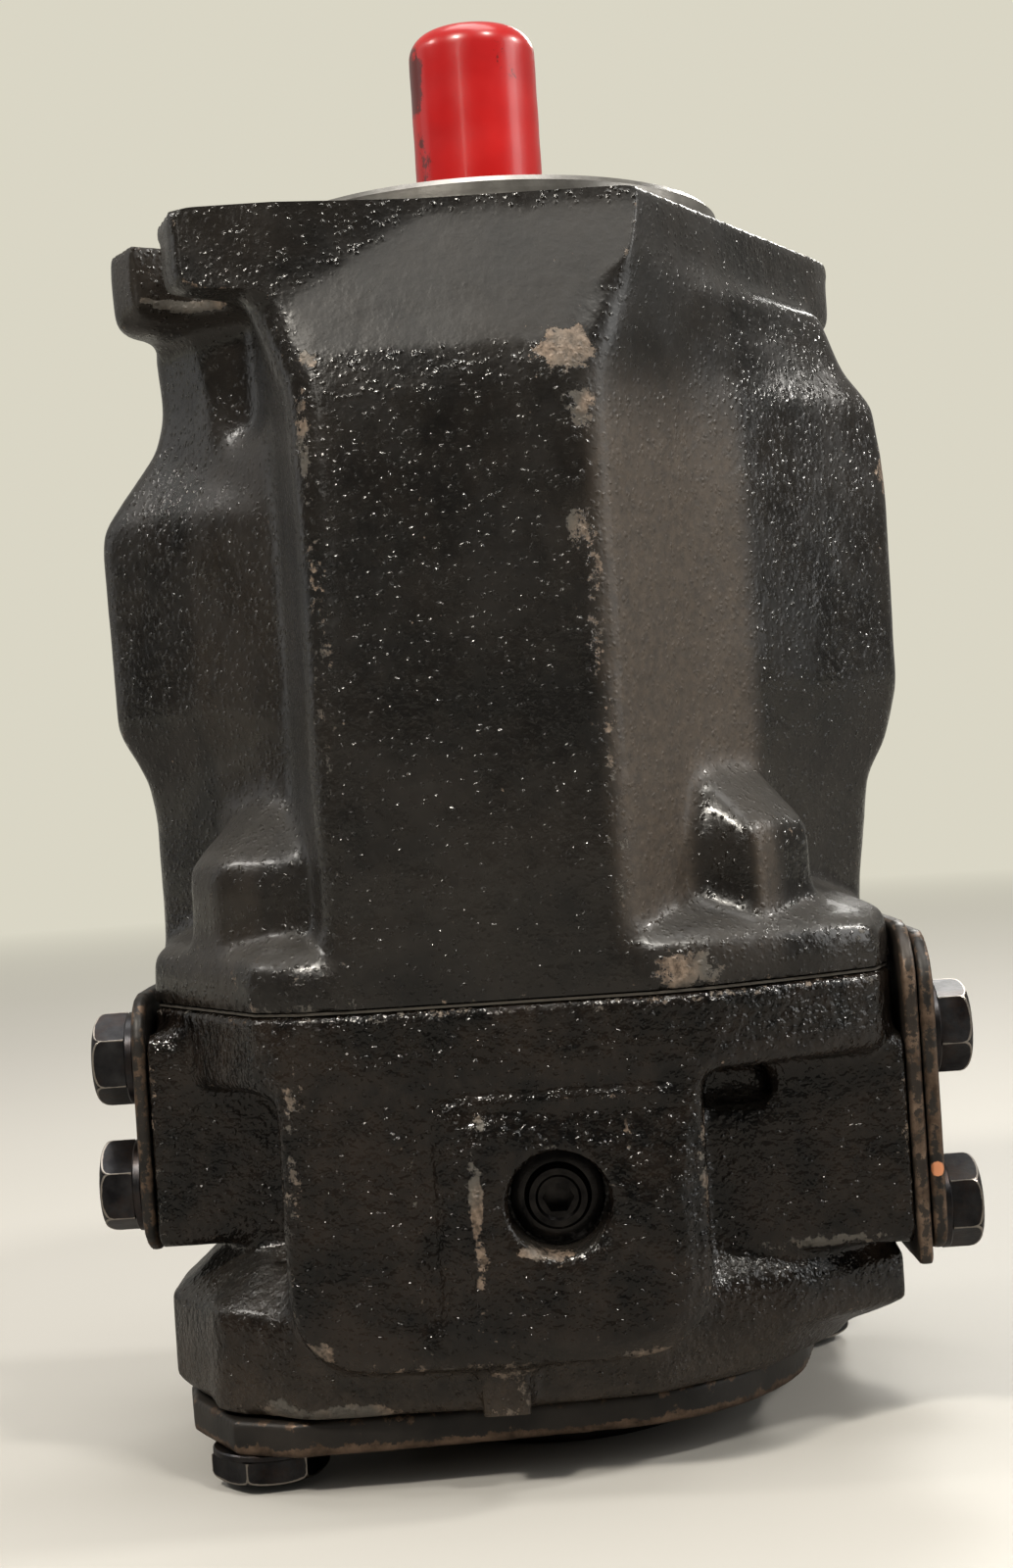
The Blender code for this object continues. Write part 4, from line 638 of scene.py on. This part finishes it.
def make_housing(paint, bare):
    """The housing's skin, cut flat at the flange's face, with its two open slots and the bright pilot."""
    skin = make_skin("housing_skin", "pump_housing", housing_crisp, 26,
                     ((26.0, 0.30), (9.0, 0.12), (3.6, 0.05)))
    co = coordinates(skin.data)
    low = co[:, 2] < (HOUSING_LOW + 0.6) * MM
    co[low, 2] -= HOUSING_LAP * MM
    co[:, 1] = slope_front(co / MM) * MM
    store(skin.data, co)
    lid = bmesh.new()
    loft(lid, [(FLANGE_TOP, circle(130.0, 8)), (FLANGE_TOP + 30.0, circle(130.0, 8))])
    cut_with(skin, lid)
    beyond = BOLT_REACH + 40.0
    for side in (1, -1):
        slot = bmesh.new()
        facing = FLANGE_TURN + math.pi
        outline = arc(SLOT_RADIUS + SLOT_PLAY, facing + math.pi / 2, facing + 1.5 * math.pi, 24,
                      turned_point(FLANGE_TURN, BOLT_REACH))
        outline += [turned_point(FLANGE_TURN, beyond, -SLOT_RADIUS - SLOT_PLAY),
                    turned_point(FLANGE_TURN, beyond, SLOT_RADIUS + SLOT_PLAY)]
        if side < 0:
            outline = [(-x, -y) for x, y in outline]
        wider = [(x * 1.001, y * 1.001) for x, y in outline]
        loft(slot, [(FLANGE_LOW - 3.0, outline), (FLANGE_LOW + 4.0, wider), (FLANGE_LOW + 5.6, wider),
                    (FLANGE_TOP + 4.0, outline)])
        cut_with(skin, slot)
    finish_skin(skin, HOUSING_CHIPS_AND_HIGHLIGHTS, housing_fields, paint)
    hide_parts("pump_housing")
    ring = bmesh.new()
    revolve(ring, [(SEAL_RADIUS + 0.3, FLANGE_TOP - 2.0), (PILOT_RADIUS - 0.3, FLANGE_TOP - 2.0),
                   (PILOT_RADIUS - 0.3, FLANGE_TOP + 1.2), (PILOT_RADIUS, FLANGE_TOP + 1.5),
                   (PILOT_RADIUS, PILOT_TOP - 1.2), (PILOT_RADIUS - 1.2, PILOT_TOP),
                   (SEAL_RADIUS + 4.0, PILOT_TOP), (SEAL_RADIUS + 0.3, PILOT_TOP - 2.6)], 160)
    pilot = make_piece("pilot_ring", ring, bare)


def block_crisp(mm):
    """The seal bore, the parting line and the two port faces keep their corners."""
    keep = np.where(np.hypot(mm[:, 0], mm[:, 1]) < 24.0, 1.0, 0.0)
    keep = np.maximum(keep, 0.93 * near(mm[:, 2], PART_Z - 2.0, PART_Z + 1.0, 1.6))
    sides = near(mm[:, 0], -76.5, 70.5, 2.0)
    return np.maximum(keep, 0.85 * (1.0 - sides))


def block_fields(mm, normal, wear):
    """Brown dirt low down, grey grime on ledges; the machined port faces stay plain."""
    low = (1.0 - smooth_step(mm[:, 2], 20.0, 34.0)) * 0.45
    ledges = smooth_step(normal[:, 2], 0.3, 0.7) * near(mm[:, 2], 24.0, 78.0, 6.0)
    return {"wear": wear, "dust_and_sheen": low * np.clip(-normal[:, 2] + 0.6, 0.0, 1.0), "grime": 0.40 * ledges,
            "satin": np.zeros(len(mm))}


def slope_pad(skin):
    """The raised pad round the plug falls away slowly to its left and above, with a crease at its foot."""
    co = coordinates(skin.data)
    mm = co / MM
    front = (mm[:, 1] < -68.0) & (mm[:, 0] > -28.0) & (mm[:, 0] < 30.0)
    front &= (mm[:, 2] > 28.0) & (mm[:, 2] < PAD_TOP)
    left = np.clip((mm[:, 0] + 21.6) / 8.0, 0.0, 1.0)
    run = 7.0 + 15.0 * smooth_step(mm[:, 0], -8.0, 8.0)
    above = np.clip((PAD_TOP - mm[:, 2]) / run, 0.0, 1.0)
    crease = 1.3 * np.exp(-((mm[:, 0] + 22.2) / 1.6) ** 2) * near(mm[:, 2], 38.0, 66.0, 9.0)
    ridge = 0.5 * np.exp(-((mm[:, 0] + 13.2) / 1.5) ** 2) * near(mm[:, 2], 38.0, 66.0, 6.0)
    raised = -70.2 - 2.6 * np.minimum(left, above) + crease
    share = 1.0 - smooth_step(mm[:, 2], 73.5, PAD_TOP)
    target = mm[:, 1] + share * (np.maximum(mm[:, 1], raised) - mm[:, 1]) - ridge
    co[:, 1] = np.where(front, target, mm[:, 1]) * MM
    store(skin.data, co)


def make_block(paint):
    """The block's skin with a crisp plug bore, the rib below the pad and the dark pocket on the left."""
    skin = make_skin("port_block_skin", "port_block", block_crisp, 14,
                     ((22.0, 0.20), (8.0, 0.10), (4.0, 0.04)))
    co = coordinates(skin.data)
    high = co[:, 2] > (PART_Z - 0.6) * MM
    co[high, 2] += BLOCK_LAP * MM
    store(skin.data, co)
    slope_pad(skin)
    floor = PANEL_Y + PLUG_RECESS
    bore = bmesh.new()
    revolve(bore, [(0, PANEL_Y - 5.0), (PLUG_BORE + 0.9, PANEL_Y - 5.0), (PLUG_BORE + 0.9, PANEL_Y - 0.8),
                   (PLUG_BORE, PANEL_Y + 0.4), (PLUG_BORE, floor), (6.2, floor), (6.2, floor + 13.0),
                   (0, floor + 13.0)], 64, PLUG, "Y")
    cut_with(skin, bore)
    rib = bmesh.new()
    loft(rib, [(15.7, rounded_rectangle(-14.6, -5.6, -66.4, -54.0, (1.2,) * 4, 3)),
               (26.5, rounded_rectangle(-15.0, -5.2, -66.7, -54.0, (1.6,) * 4, 3))])
    cut_with(skin, rib, "UNION")
    pocket = bmesh.new()
    loft(pocket, [(-73.0, rounded_rectangle(-55.4, -51.6, 42.6, 49.6, (1.5,) * 4)),
                  (-44.0, rounded_rectangle(-55.0, -52.0, 43.0, 49.2, (1.2,) * 4))], "Y")
    cut_with(skin, pocket)
    finish_skin(skin, BLOCK_CHIPS_AND_HIGHLIGHTS, block_fields, paint)
    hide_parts("port_block")


def hexagon_screw(name, node, sizes, outward, axis, centre, seat, turn, mat):
    """Hexagon screw with a rounded crown, worn edges that also stand as painted highlight lines, and a
    washer, on the node's own place.
    """
    flats, head, washer = sizes
    steps = 144
    base = seat + outward * (washer + 0.3)
    top = base + outward * head
    face = flats / 2 * 0.80
    crown = head * 0.34
    span = flats / math.sqrt(3.0) - face
    corner = math.pi / 3
    bm = bmesh.new()
    layer = bm.verts.layers.float.new("wear")
    rings = []
    levels = ((0.0, 0.0, 0.1), (0.35, 0.0, 0.0), (0.65, 0.0, 0.1), (0.88, 0.0, 0.3), (1.0, 0.0, 1.0),
              (1.0, 0.7, 0.0), (1.0, head * 0.58, 0.0), (1.0, head, 0.3))
    for share, drop, wear in levels:
        ring = []
        for i in range(steps):
            angle = 2 * math.pi * i / steps
            side = flats / 2 / math.cos((angle % corner) - corner / 2)
            radius = face + (side - face) * share
            depth = crown * (1.0 - math.sqrt(max(1.0 - ((radius - face) / span) ** 2, 0.0)))
            height = top - outward * max(depth + (drop if share == 1.0 and drop < head else 0.0),
                                         head if drop == head else 0.0)
            spot = bm.verts.new(place(axis, centre[0] + radius * math.cos(angle + turn),
                                      centre[1] + radius * math.sin(angle + turn), height))
            # The corners and the crown's rim are worn bare and lightened as painted highlight lines
            spot[layer] = max(wear, 0.85 if share == 1.0 and i % (steps // 6) == 0 else 0.0)
            ring.append(spot)
        rings.append(ring)
    for low, high in zip(rings, rings[1:]):
        for i in range(steps):
            j = (i + 1) % steps
            bm.faces.new((low[i], low[j], high[j], high[i]))
    bm.faces.new(rings[0])
    bm.faces.new(list(reversed(rings[-1])))
    bmesh.ops.recalc_face_normals(bm, faces=bm.faces)
    outer = flats / 2 + 1.2
    low, high = sorted((seat + outward * 0.02, seat + outward * (washer + 0.28)))
    revolve(bm, [(5.0, low), (outer - 0.3, low), (outer, low + 0.3), (outer, high - 0.3), (outer - 0.3, high),
                 (5.0, high)], 64, centre, axis)
    screw = make_piece(name, bm, mat, "casing", 24.0)
    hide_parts(node)


def edge_worn_plate(name, node, axis, outline, low, high, mat, slot, wear, copper=(), soft=0.6,
                    bare_foot=0.0):
    """A flat plate with softened edges whose wear attribute rises at its rim."""
    bm = bmesh.new()
    loft(bm, [(low, outline), (high, outline)], axis)
    plate = make_piece(name, bm, mat, None, None)
    bevel = plate.modifiers.new("edges", "BEVEL")
    bevel.width = soft * MM
    bevel.segments = 3
    bevel.limit_method = "ANGLE"
    bevel.angle_limit = math.radians(40.0)
    remesh = plate.modifiers.new("fine", "REMESH")
    remesh.mode = "VOXEL"
    remesh.voxel_size = PLATE_VOXEL * MM
    apply_modifiers(plate)
    mesh = plate.data
    relax(mesh, 2, 0.5, np.zeros(len(mesh.vertices)))
    ripple(mesh, ((24.0, 0.10), (6.0, 0.04)), np.ones(len(mesh.vertices)))
    height = coordinates(mesh)[:, 2] / MM
    foot = bare_foot * (1.0 - smooth_step(height, height.min() + 0.8, height.min() + 3.4))
    set_attribute(mesh, "wear", wear[0] + wear[1] * convex_edges(mesh, 2) + foot)
    set_attribute(mesh, "copper", spot_field(coordinates(mesh), copper))
    mesh.shade_smooth()
    mesh.materials.clear()
    mesh.materials.append(mat)
    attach(plate, "casing")
    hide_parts(node)


def make_side_plate(name, node, radii, mat, slot, **settings):
    """A port plate on the node's own box, with its four corner radii from the lower left on."""
    low, high = node_range(node)
    outline = rounded_rectangle(low[1], high[1], low[2], high[2], radii)
    edge_worn_plate(name, node, "X", outline, low[0], high[0], mat, slot, **settings)
    return low[0], high[0]


def port_screws(port, sizes, outward, outside, turns, mat):
    """The four screws of a side plate; each head stands turned as it was tightened, in degrees."""
    for corner, turn in turns.items():
        node = f"{port}_screw_{corner}"
        low, high = node_range(node)
        centre = ((low[1] + high[1]) / 2, (low[2] + high[2]) / 2)
        hexagon_screw(f"{node}_head", node, sizes, outward, "X", centre, outside, math.radians(turn), mat)


def make_covers(plate_mat, bare_mat, screw_mat):
    """Blanking plates of the two ports and their screws."""
    outside, _ = make_side_plate("pressure_cover_plate", "pressure_port_cover", (11.0,) * 4, plate_mat,
                                 "dark_plate", wear=(0.06, 0.60))
    port_screws("pressure", PRESSURE_SCREW, -1, outside,
                {"front_low": 37.0, "front_high": 31.0, "back_low": 8.0, "back_high": 22.0}, screw_mat)
    make_side_plate("suction_spacer_plate", "suction_port_spacer", (2.0, 2.0, 12.0, 12.0), bare_mat,
                    "bare_plate", wear=(0.12, 0.62))
    fleck = (((78.0, -47.8, 54.2), (1.7, 1.5, 1.7), 1.0),)
    _, outside = make_side_plate("suction_cover_plate", "suction_port_cover", (7.0, 7.0, 12.0, 12.0),
                                 plate_mat, "dark_plate", wear=(0.14, 0.75), copper=fleck)
    port_screws("suction", SUCTION_SCREW, 1, outside,
                {"front_low": 26.0, "front_high": 17.0, "back_low": 41.0, "back_high": 3.0}, screw_mat)


def make_drive_cover(plate_mat, screw_mat):
    """The two-eared rear cover, the boss that the pump stands on and the two screws."""
    disc = arc(COVER_DISC, math.radians(285.0), math.radians(345.0), 24)
    outline = []
    for ear, side in zip(COVER_EARS, (1, -1)):
        half = [turned_point(COVER_TURN, BOLT_REACH + beyond, beside) for beyond, beside in ear] + disc
        outline += [(side * x, side * y) for x, y in half]
    low, high = node_range("through_drive_cover")
    seat = low[2] + BOSS_HEIGHT
    edge_worn_plate("drive_cover_plate", "through_drive_cover", "Z", outline, seat, high[2], plate_mat,
                    "dark_plate", wear=(0.16, 0.45), soft=0.9, bare_foot=0.5)
    bm = bmesh.new()
    revolve(bm, [(0, 0), (COVER_BOSS - 2.6, 0), (COVER_BOSS - 1.2, 0.4), (COVER_BOSS - 0.2, 1.6),
                 (COVER_BOSS, 2.6), (COVER_BOSS, seat + 1.0), (0, seat + 1.0)], 96)
    boss = make_piece("drive_cover_boss", bm, plate_mat)
    set_attribute(boss.data, "wear", np.full(len(boss.data.vertices), 0.30))
    for end, side, turn in (("front", 1, 12.0), ("back", -1, 49.0)):
        hexagon_screw(f"cover_screw_{end}_head", f"cover_screw_{end}", COVER_SCREW, -1, "Z",
                      turned_point(COVER_TURN, side * BOLT_REACH), seat, math.radians(turn), screw_mat)


def make_cap(mat):
    """The cap's thin shell, nearly straight, with a rubbed mark and dark scuffs."""
    radius = 13.75
    top = 300.15
    low = 257.65
    corner = 5.5
    inner = 12.8
    steps = 14
    wall_steps = 24
    crown = [(radius - corner + corner * math.sin(a * math.pi / 2 / steps),
              top - corner + corner * math.cos(a * math.pi / 2 / steps)) for a in range(steps + 1)]
    wall = [(radius + 0.03 * math.sin(i * 0.9), top - corner - (top - corner - low - 1.0) * i / wall_steps)
            for i in range(1, wall_steps + 1)]
    profile = [(0, top + 0.35), (3.0, top + 0.30)] + crown + wall
    profile += [(radius - 0.15, low + 0.3), (radius - 0.5, low), (inner, low + 0.1), (inner, top - corner),
                (inner - 3.4, top - 1.6), (0, top - 1.0)]
    bm = bmesh.new()
    revolve(bm, profile, 96)
    cap = make_piece("cap_shell", bm, mat, "cap", 50.0)
    mesh = cap.data
    co = coordinates(mesh) / MM
    set_attribute(mesh, "mark", spot_field(co * MM, (((10.2, -9.0, 262.5), (3.4, 5.0, 2.6), 0.95),)))
    set_attribute(mesh, "scuff", spot_field(co * MM, (((-12.8, -5.0, 289.0), (2.8, 8.0, 10.0), 0.98),
                                                      ((-11.5, -8.0, 270.0), (3.0, 5.0, 12.0), 0.52),
                                                      ((7.0, -12.0, 290.0), (7.0, 5.0, 6.0), 0.42))))
    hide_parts("shaft_cap")


def make_plug(mat):
    """Socket plug: a flat flange, a stepped head and a hexagon socket."""
    face = PANEL_Y + PLUG_RECESS
    bm = bmesh.new()
    revolve(bm, [(0, face + 11.0), (5.6, face + 11.0), (5.6, face - 0.3), (8.9, face - 0.3),
                 (9.1, face - 0.5), (9.1, face - 0.9), (8.8, face - 1.1), (6.5, face - 1.1),
                 (6.2, face - 1.4), (6.1, face - 3.2), (5.6, face - 3.7), (4.4, face - 3.7),
                 (3.9, face - 3.2), (0, face - 3.2)], 96, PLUG, "Y")
    plug = make_piece("plug_head", bm, mat)
    tool = bmesh.new()
    loft(tool, [(face - 6.0, circle(3.1, 6, PLUG)), (face + 3.0, circle(3.1, 6, PLUG))], "Y")
    cut_with(plug, tool)
    plug.data.materials.clear()
    plug.data.materials.append(mat)
    plug.data.set_sharp_from_angle(angle=math.radians(35.0))
    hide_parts("port_plug")


def make_bias_spring(mat):
    """The bias spring's coil, made from its own solid, rides the casing."""
    spring = make_piece("bias_spring_coil", cad_bmesh("bias_spring"), mat, "casing", 50.0)
    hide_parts("bias_spring")
    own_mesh(spring)


def dress_nodes(mats):
    """Finishes for the inner and small nodes that keep their own solids."""
    groups = {"steel": ("drive_shaft", "front_bearing_inner_ring", "rear_bearing_inner_ring",
                        "front_bearing_outer_ring", "rear_bearing_outer_ring", "front_bearing_rollers",
                        "rear_bearing_rollers", "cylinder_block", "ball_guide", "swashplate",
                        "retainer_plate", "control_guide", "control_piston", "bias_guide", "bias_piston",
                        "seal_retaining_ring",
                        *[f"piston_{i}" for i in range(1, 10)]),
              "spring": ("block_spring",),
              "bronze": ("valve_plate", "cradle_bearing_left", "cradle_bearing_right",
                         *[f"slipper_{i}" for i in range(1, 10)]),
              "rubber": ("shaft_seal",),
              "fibre": ("housing_gasket",)}
    for kind, names in groups.items():
        for name in names:
            mesh = NODES[name].data
            mesh.materials.clear()
            mesh.materials.append(mats[kind])


# Floor, lamps and camera

BACKDROP = rgb(0.700, 0.672, 0.560)
# The floor's radius in metres, and between which distances it fades into the backdrop
FLOOR_RADIUS = 3.2
FLOOR_FADE = (0.8, 2.3)
# The camera: place in millimetres, roll in degrees, focal length and sensor height in millimetres
CAMERA_PLACE = (-2.6, -515.0, 136.0)
CAMERA_ROLL = 3.7
CAMERA_LENS = 54.0
CAMERA_SENSOR = 36.0
# Place and target in metres, size, watts and colour
LAMPS = (
    ("key", (-0.55, -0.95, 1.25), (0.0, 0.0, 0.16), (0.15, 0.15), 15.0, (1.0, 0.94, 0.84)),
    ("second", (0.60, -0.80, 1.40), (0.0, 0.0, 0.2), (0.18, 0.18), 10.0, (1.0, 0.96, 0.88)),
    ("tube", (-0.42, -0.95, 0.85), (0.0, 0.0, 0.22), (0.05, 1.0), 1.1, (1.0, 0.96, 0.88)),
    ("top", (0.05, 0.05, 1.45), (0.0, 0.0, 0.2), (1.0, 0.6), 9.0, (1.0, 0.98, 0.95)),
    ("right", (1.15, -0.30, 0.55), (0.0, 0.0, 0.15), (0.4, 0.8), 3.0, (0.98, 0.98, 0.96)),
    ("right_high", (1.25, 0.05, 1.00), (0.0, 0.0, 0.18), (0.14, 0.14), 9.0, (1.0, 0.96, 0.90)),
    ("left_high", (-1.20, -0.10, 1.15), (0.0, 0.0, 0.18), (0.18, 0.18), 4.5, (1.0, 0.96, 0.90)),
    ("behind", (0.45, 1.35, 1.00), (0.0, 0.0, 0.16), (0.5, 0.3), 6.0, (1.0, 0.98, 0.93)),
    ("left_rim", (-1.05, 0.35, 0.6), (0.0, 0.0, 0.15), (0.4, 0.9), 0.5, (1.0, 1.0, 1.0)))


def make_stage():
    """A round pale floor that fades into the backdrop on all sides."""
    bm = bmesh.new()
    rim = circle(1.0, 64)
    bm.faces.new([bm.verts.new((FLOOR_RADIUS * x, FLOOR_RADIUS * y, 0.0)) for x, y in rim])
    g = Material("studio_floor")
    colour = g.mix(g.noise(2.5), rgb(0.52, 0.505, 0.47), rgb(0.56, 0.545, 0.51))
    # In reflections the floor shows dark: a painted dark reflection
    mirrored = g.node("ShaderNodeLightPath").outputs["Is Glossy Ray"]
    colour = g.mix(mirrored, colour, rgb(0.17, 0.16, 0.145))
    floor = make_piece("studio_floor", bm, g.finish(colour, 0.5), None, None)
    reach = g.node("ShaderNodeVectorMath", {0: g.coords}, operation="LENGTH").outputs["Value"]
    far = g.remap(reach, *FLOOR_FADE)
    glow = g.node("ShaderNodeEmission", {"Color": BACKDROP, "Strength": 1.0}).outputs["Emission"]
    both = g.mix_shaders(far, g.shader.outputs["BSDF"], glow)
    g.put(g.tree.nodes["Material Output"].inputs["Surface"], both)


def area_lamp(name, location, target, size, energy, colour):
    data = bpy.data.lights.new(name, "AREA")
    data.shape = "RECTANGLE"
    data.size, data.size_y = size
    data.energy = energy
    data.color = colour
    lamp = bpy.data.objects.new(name, data)
    bpy.context.scene.collection.objects.link(lamp)
    lamp.location = location
    direction = Vector(target) - Vector(location)
    lamp.rotation_euler = direction.to_track_quat("-Z", "Y").to_euler()


def make_lights():
    """A dim room, brighter overhead and behind, with small bright lamps for the sparkle."""
    world = bpy.data.worlds.new("soft_room")
    g = Nodes(world)
    direction = g.node("ShaderNodeTexCoord").outputs["Generated"]
    split = g.node("ShaderNodeSeparateXYZ", {0: direction})
    overhead = g.remap(split.outputs["Z"], 0.10, 0.95, 0.0, 0.22)
    behind = g.remap(split.outputs["Y"], 0.0, 0.85, 0.0, 0.24)
    room = g.tree.nodes["Background"]
    g.put(room.inputs["Color"], rgb(0.97, 0.93, 0.84))
    g.put(room.inputs["Strength"], g.math("ADD", g.math("ADD", overhead, behind), 0.045))
    wall = g.node("ShaderNodeBackground", {"Color": BACKDROP})
    seen = g.node("ShaderNodeLightPath").outputs["Is Camera Ray"]
    both = g.mix_shaders(seen, room.outputs[0], wall.outputs[0])
    g.put(g.tree.nodes["World Output"].inputs["Surface"], both)
    bpy.context.scene.world = world
    for lamp in LAMPS:
        area_lamp(*lamp)


def make_camera():
    data = bpy.data.cameras.new("photo_camera")
    data.sensor_fit = "VERTICAL"
    data.sensor_height = CAMERA_SENSOR
    data.sensor_width = CAMERA_SENSOR / 1.5
    data.lens = CAMERA_LENS
    data.clip_start = 0.01
    camera = bpy.data.objects.new("photo_camera", data)
    bpy.context.scene.collection.objects.link(camera)
    roll = math.radians(CAMERA_ROLL)
    forward = Vector((0.0, 1.0, 0.0))
    up = Vector((math.sin(roll), 0.0, math.cos(roll)))
    right = forward.cross(up)
    turn = Matrix((right, up, -forward)).transposed().to_4x4()
    camera.matrix_world = Matrix.Translation(vec(*CAMERA_PLACE)) @ turn
    bpy.context.scene.camera = camera


def main():
    scene = bpy.context.scene
    scene.view_settings.view_transform = "Standard"
    make_camera()
    make_lights()
    make_stage()
    paint = cast_paint("housing_paint", dark=(0.0060, 0.0054, 0.0050), light=(0.0160, 0.0135, 0.0115),
                       mottle=34.0, pebble_depth=0.00024, grit=0.10, crease=0.70, wave_depth=0.00008,
                       gloss=0.24, shine=0.50)
    block_paint = cast_paint("block_paint", dark=(0.0014, 0.0012, 0.0011), light=(0.0150, 0.0108, 0.0082),
                             mottle=80.0, pebble_depth=0.00030, grit=0.10, crease=2.20,
                             wave_depth=0.00040, gloss=0.13, shine=0.45)
    steel = metal_finish("machined_steel", (0.20, 0.19, 0.175), (0.40, 0.385, 0.36), 0.36, scale=90.0,
                         streak=(3.0, 3.0, 900.0))
    spring = metal_finish("spring_steel", (0.16, 0.16, 0.17), (0.34, 0.34, 0.35), 0.36, scale=200.0)
    screw_steel = metal_finish("screw_steel", (0.022, 0.022, 0.025), (0.075, 0.074, 0.078), 0.34, scale=150.0,
                               rust=0.30, edge=(0.42, 0.38, 0.34))
    bare = plate_finish("bare_plate", (0.014, 0.011, 0.009), (0.046, 0.035, 0.027), (0.085, 0.057, 0.040),
                        (0.26, 0.185, 0.135))
    bronze = metal_finish("bronze", (0.42, 0.25, 0.10), (0.62, 0.41, 0.19), 0.30, scale=110.0)
    plate = plate_finish("dark_plate", (0.009, 0.008, 0.0072), (0.028, 0.023, 0.019), (0.055, 0.037, 0.026),
                         (0.19, 0.130, 0.092))
    make_housing(paint, steel)
    make_block(block_paint)
    make_covers(plate, bare, screw_steel)
    make_drive_cover(plate, screw_steel)
    make_cap(vinyl_finish("red_vinyl"))
    make_plug(metal_finish("plug_steel", (0.012, 0.012, 0.013), (0.050, 0.047, 0.045), 0.22, scale=260.0))
    make_bias_spring(spring)
    dress_nodes({"steel": steel, "spring": spring, "bronze": bronze, "rubber": rubber_finish("seal_rubber"),
                 "fibre": fibre_finish("gasket_fibre")})


main()
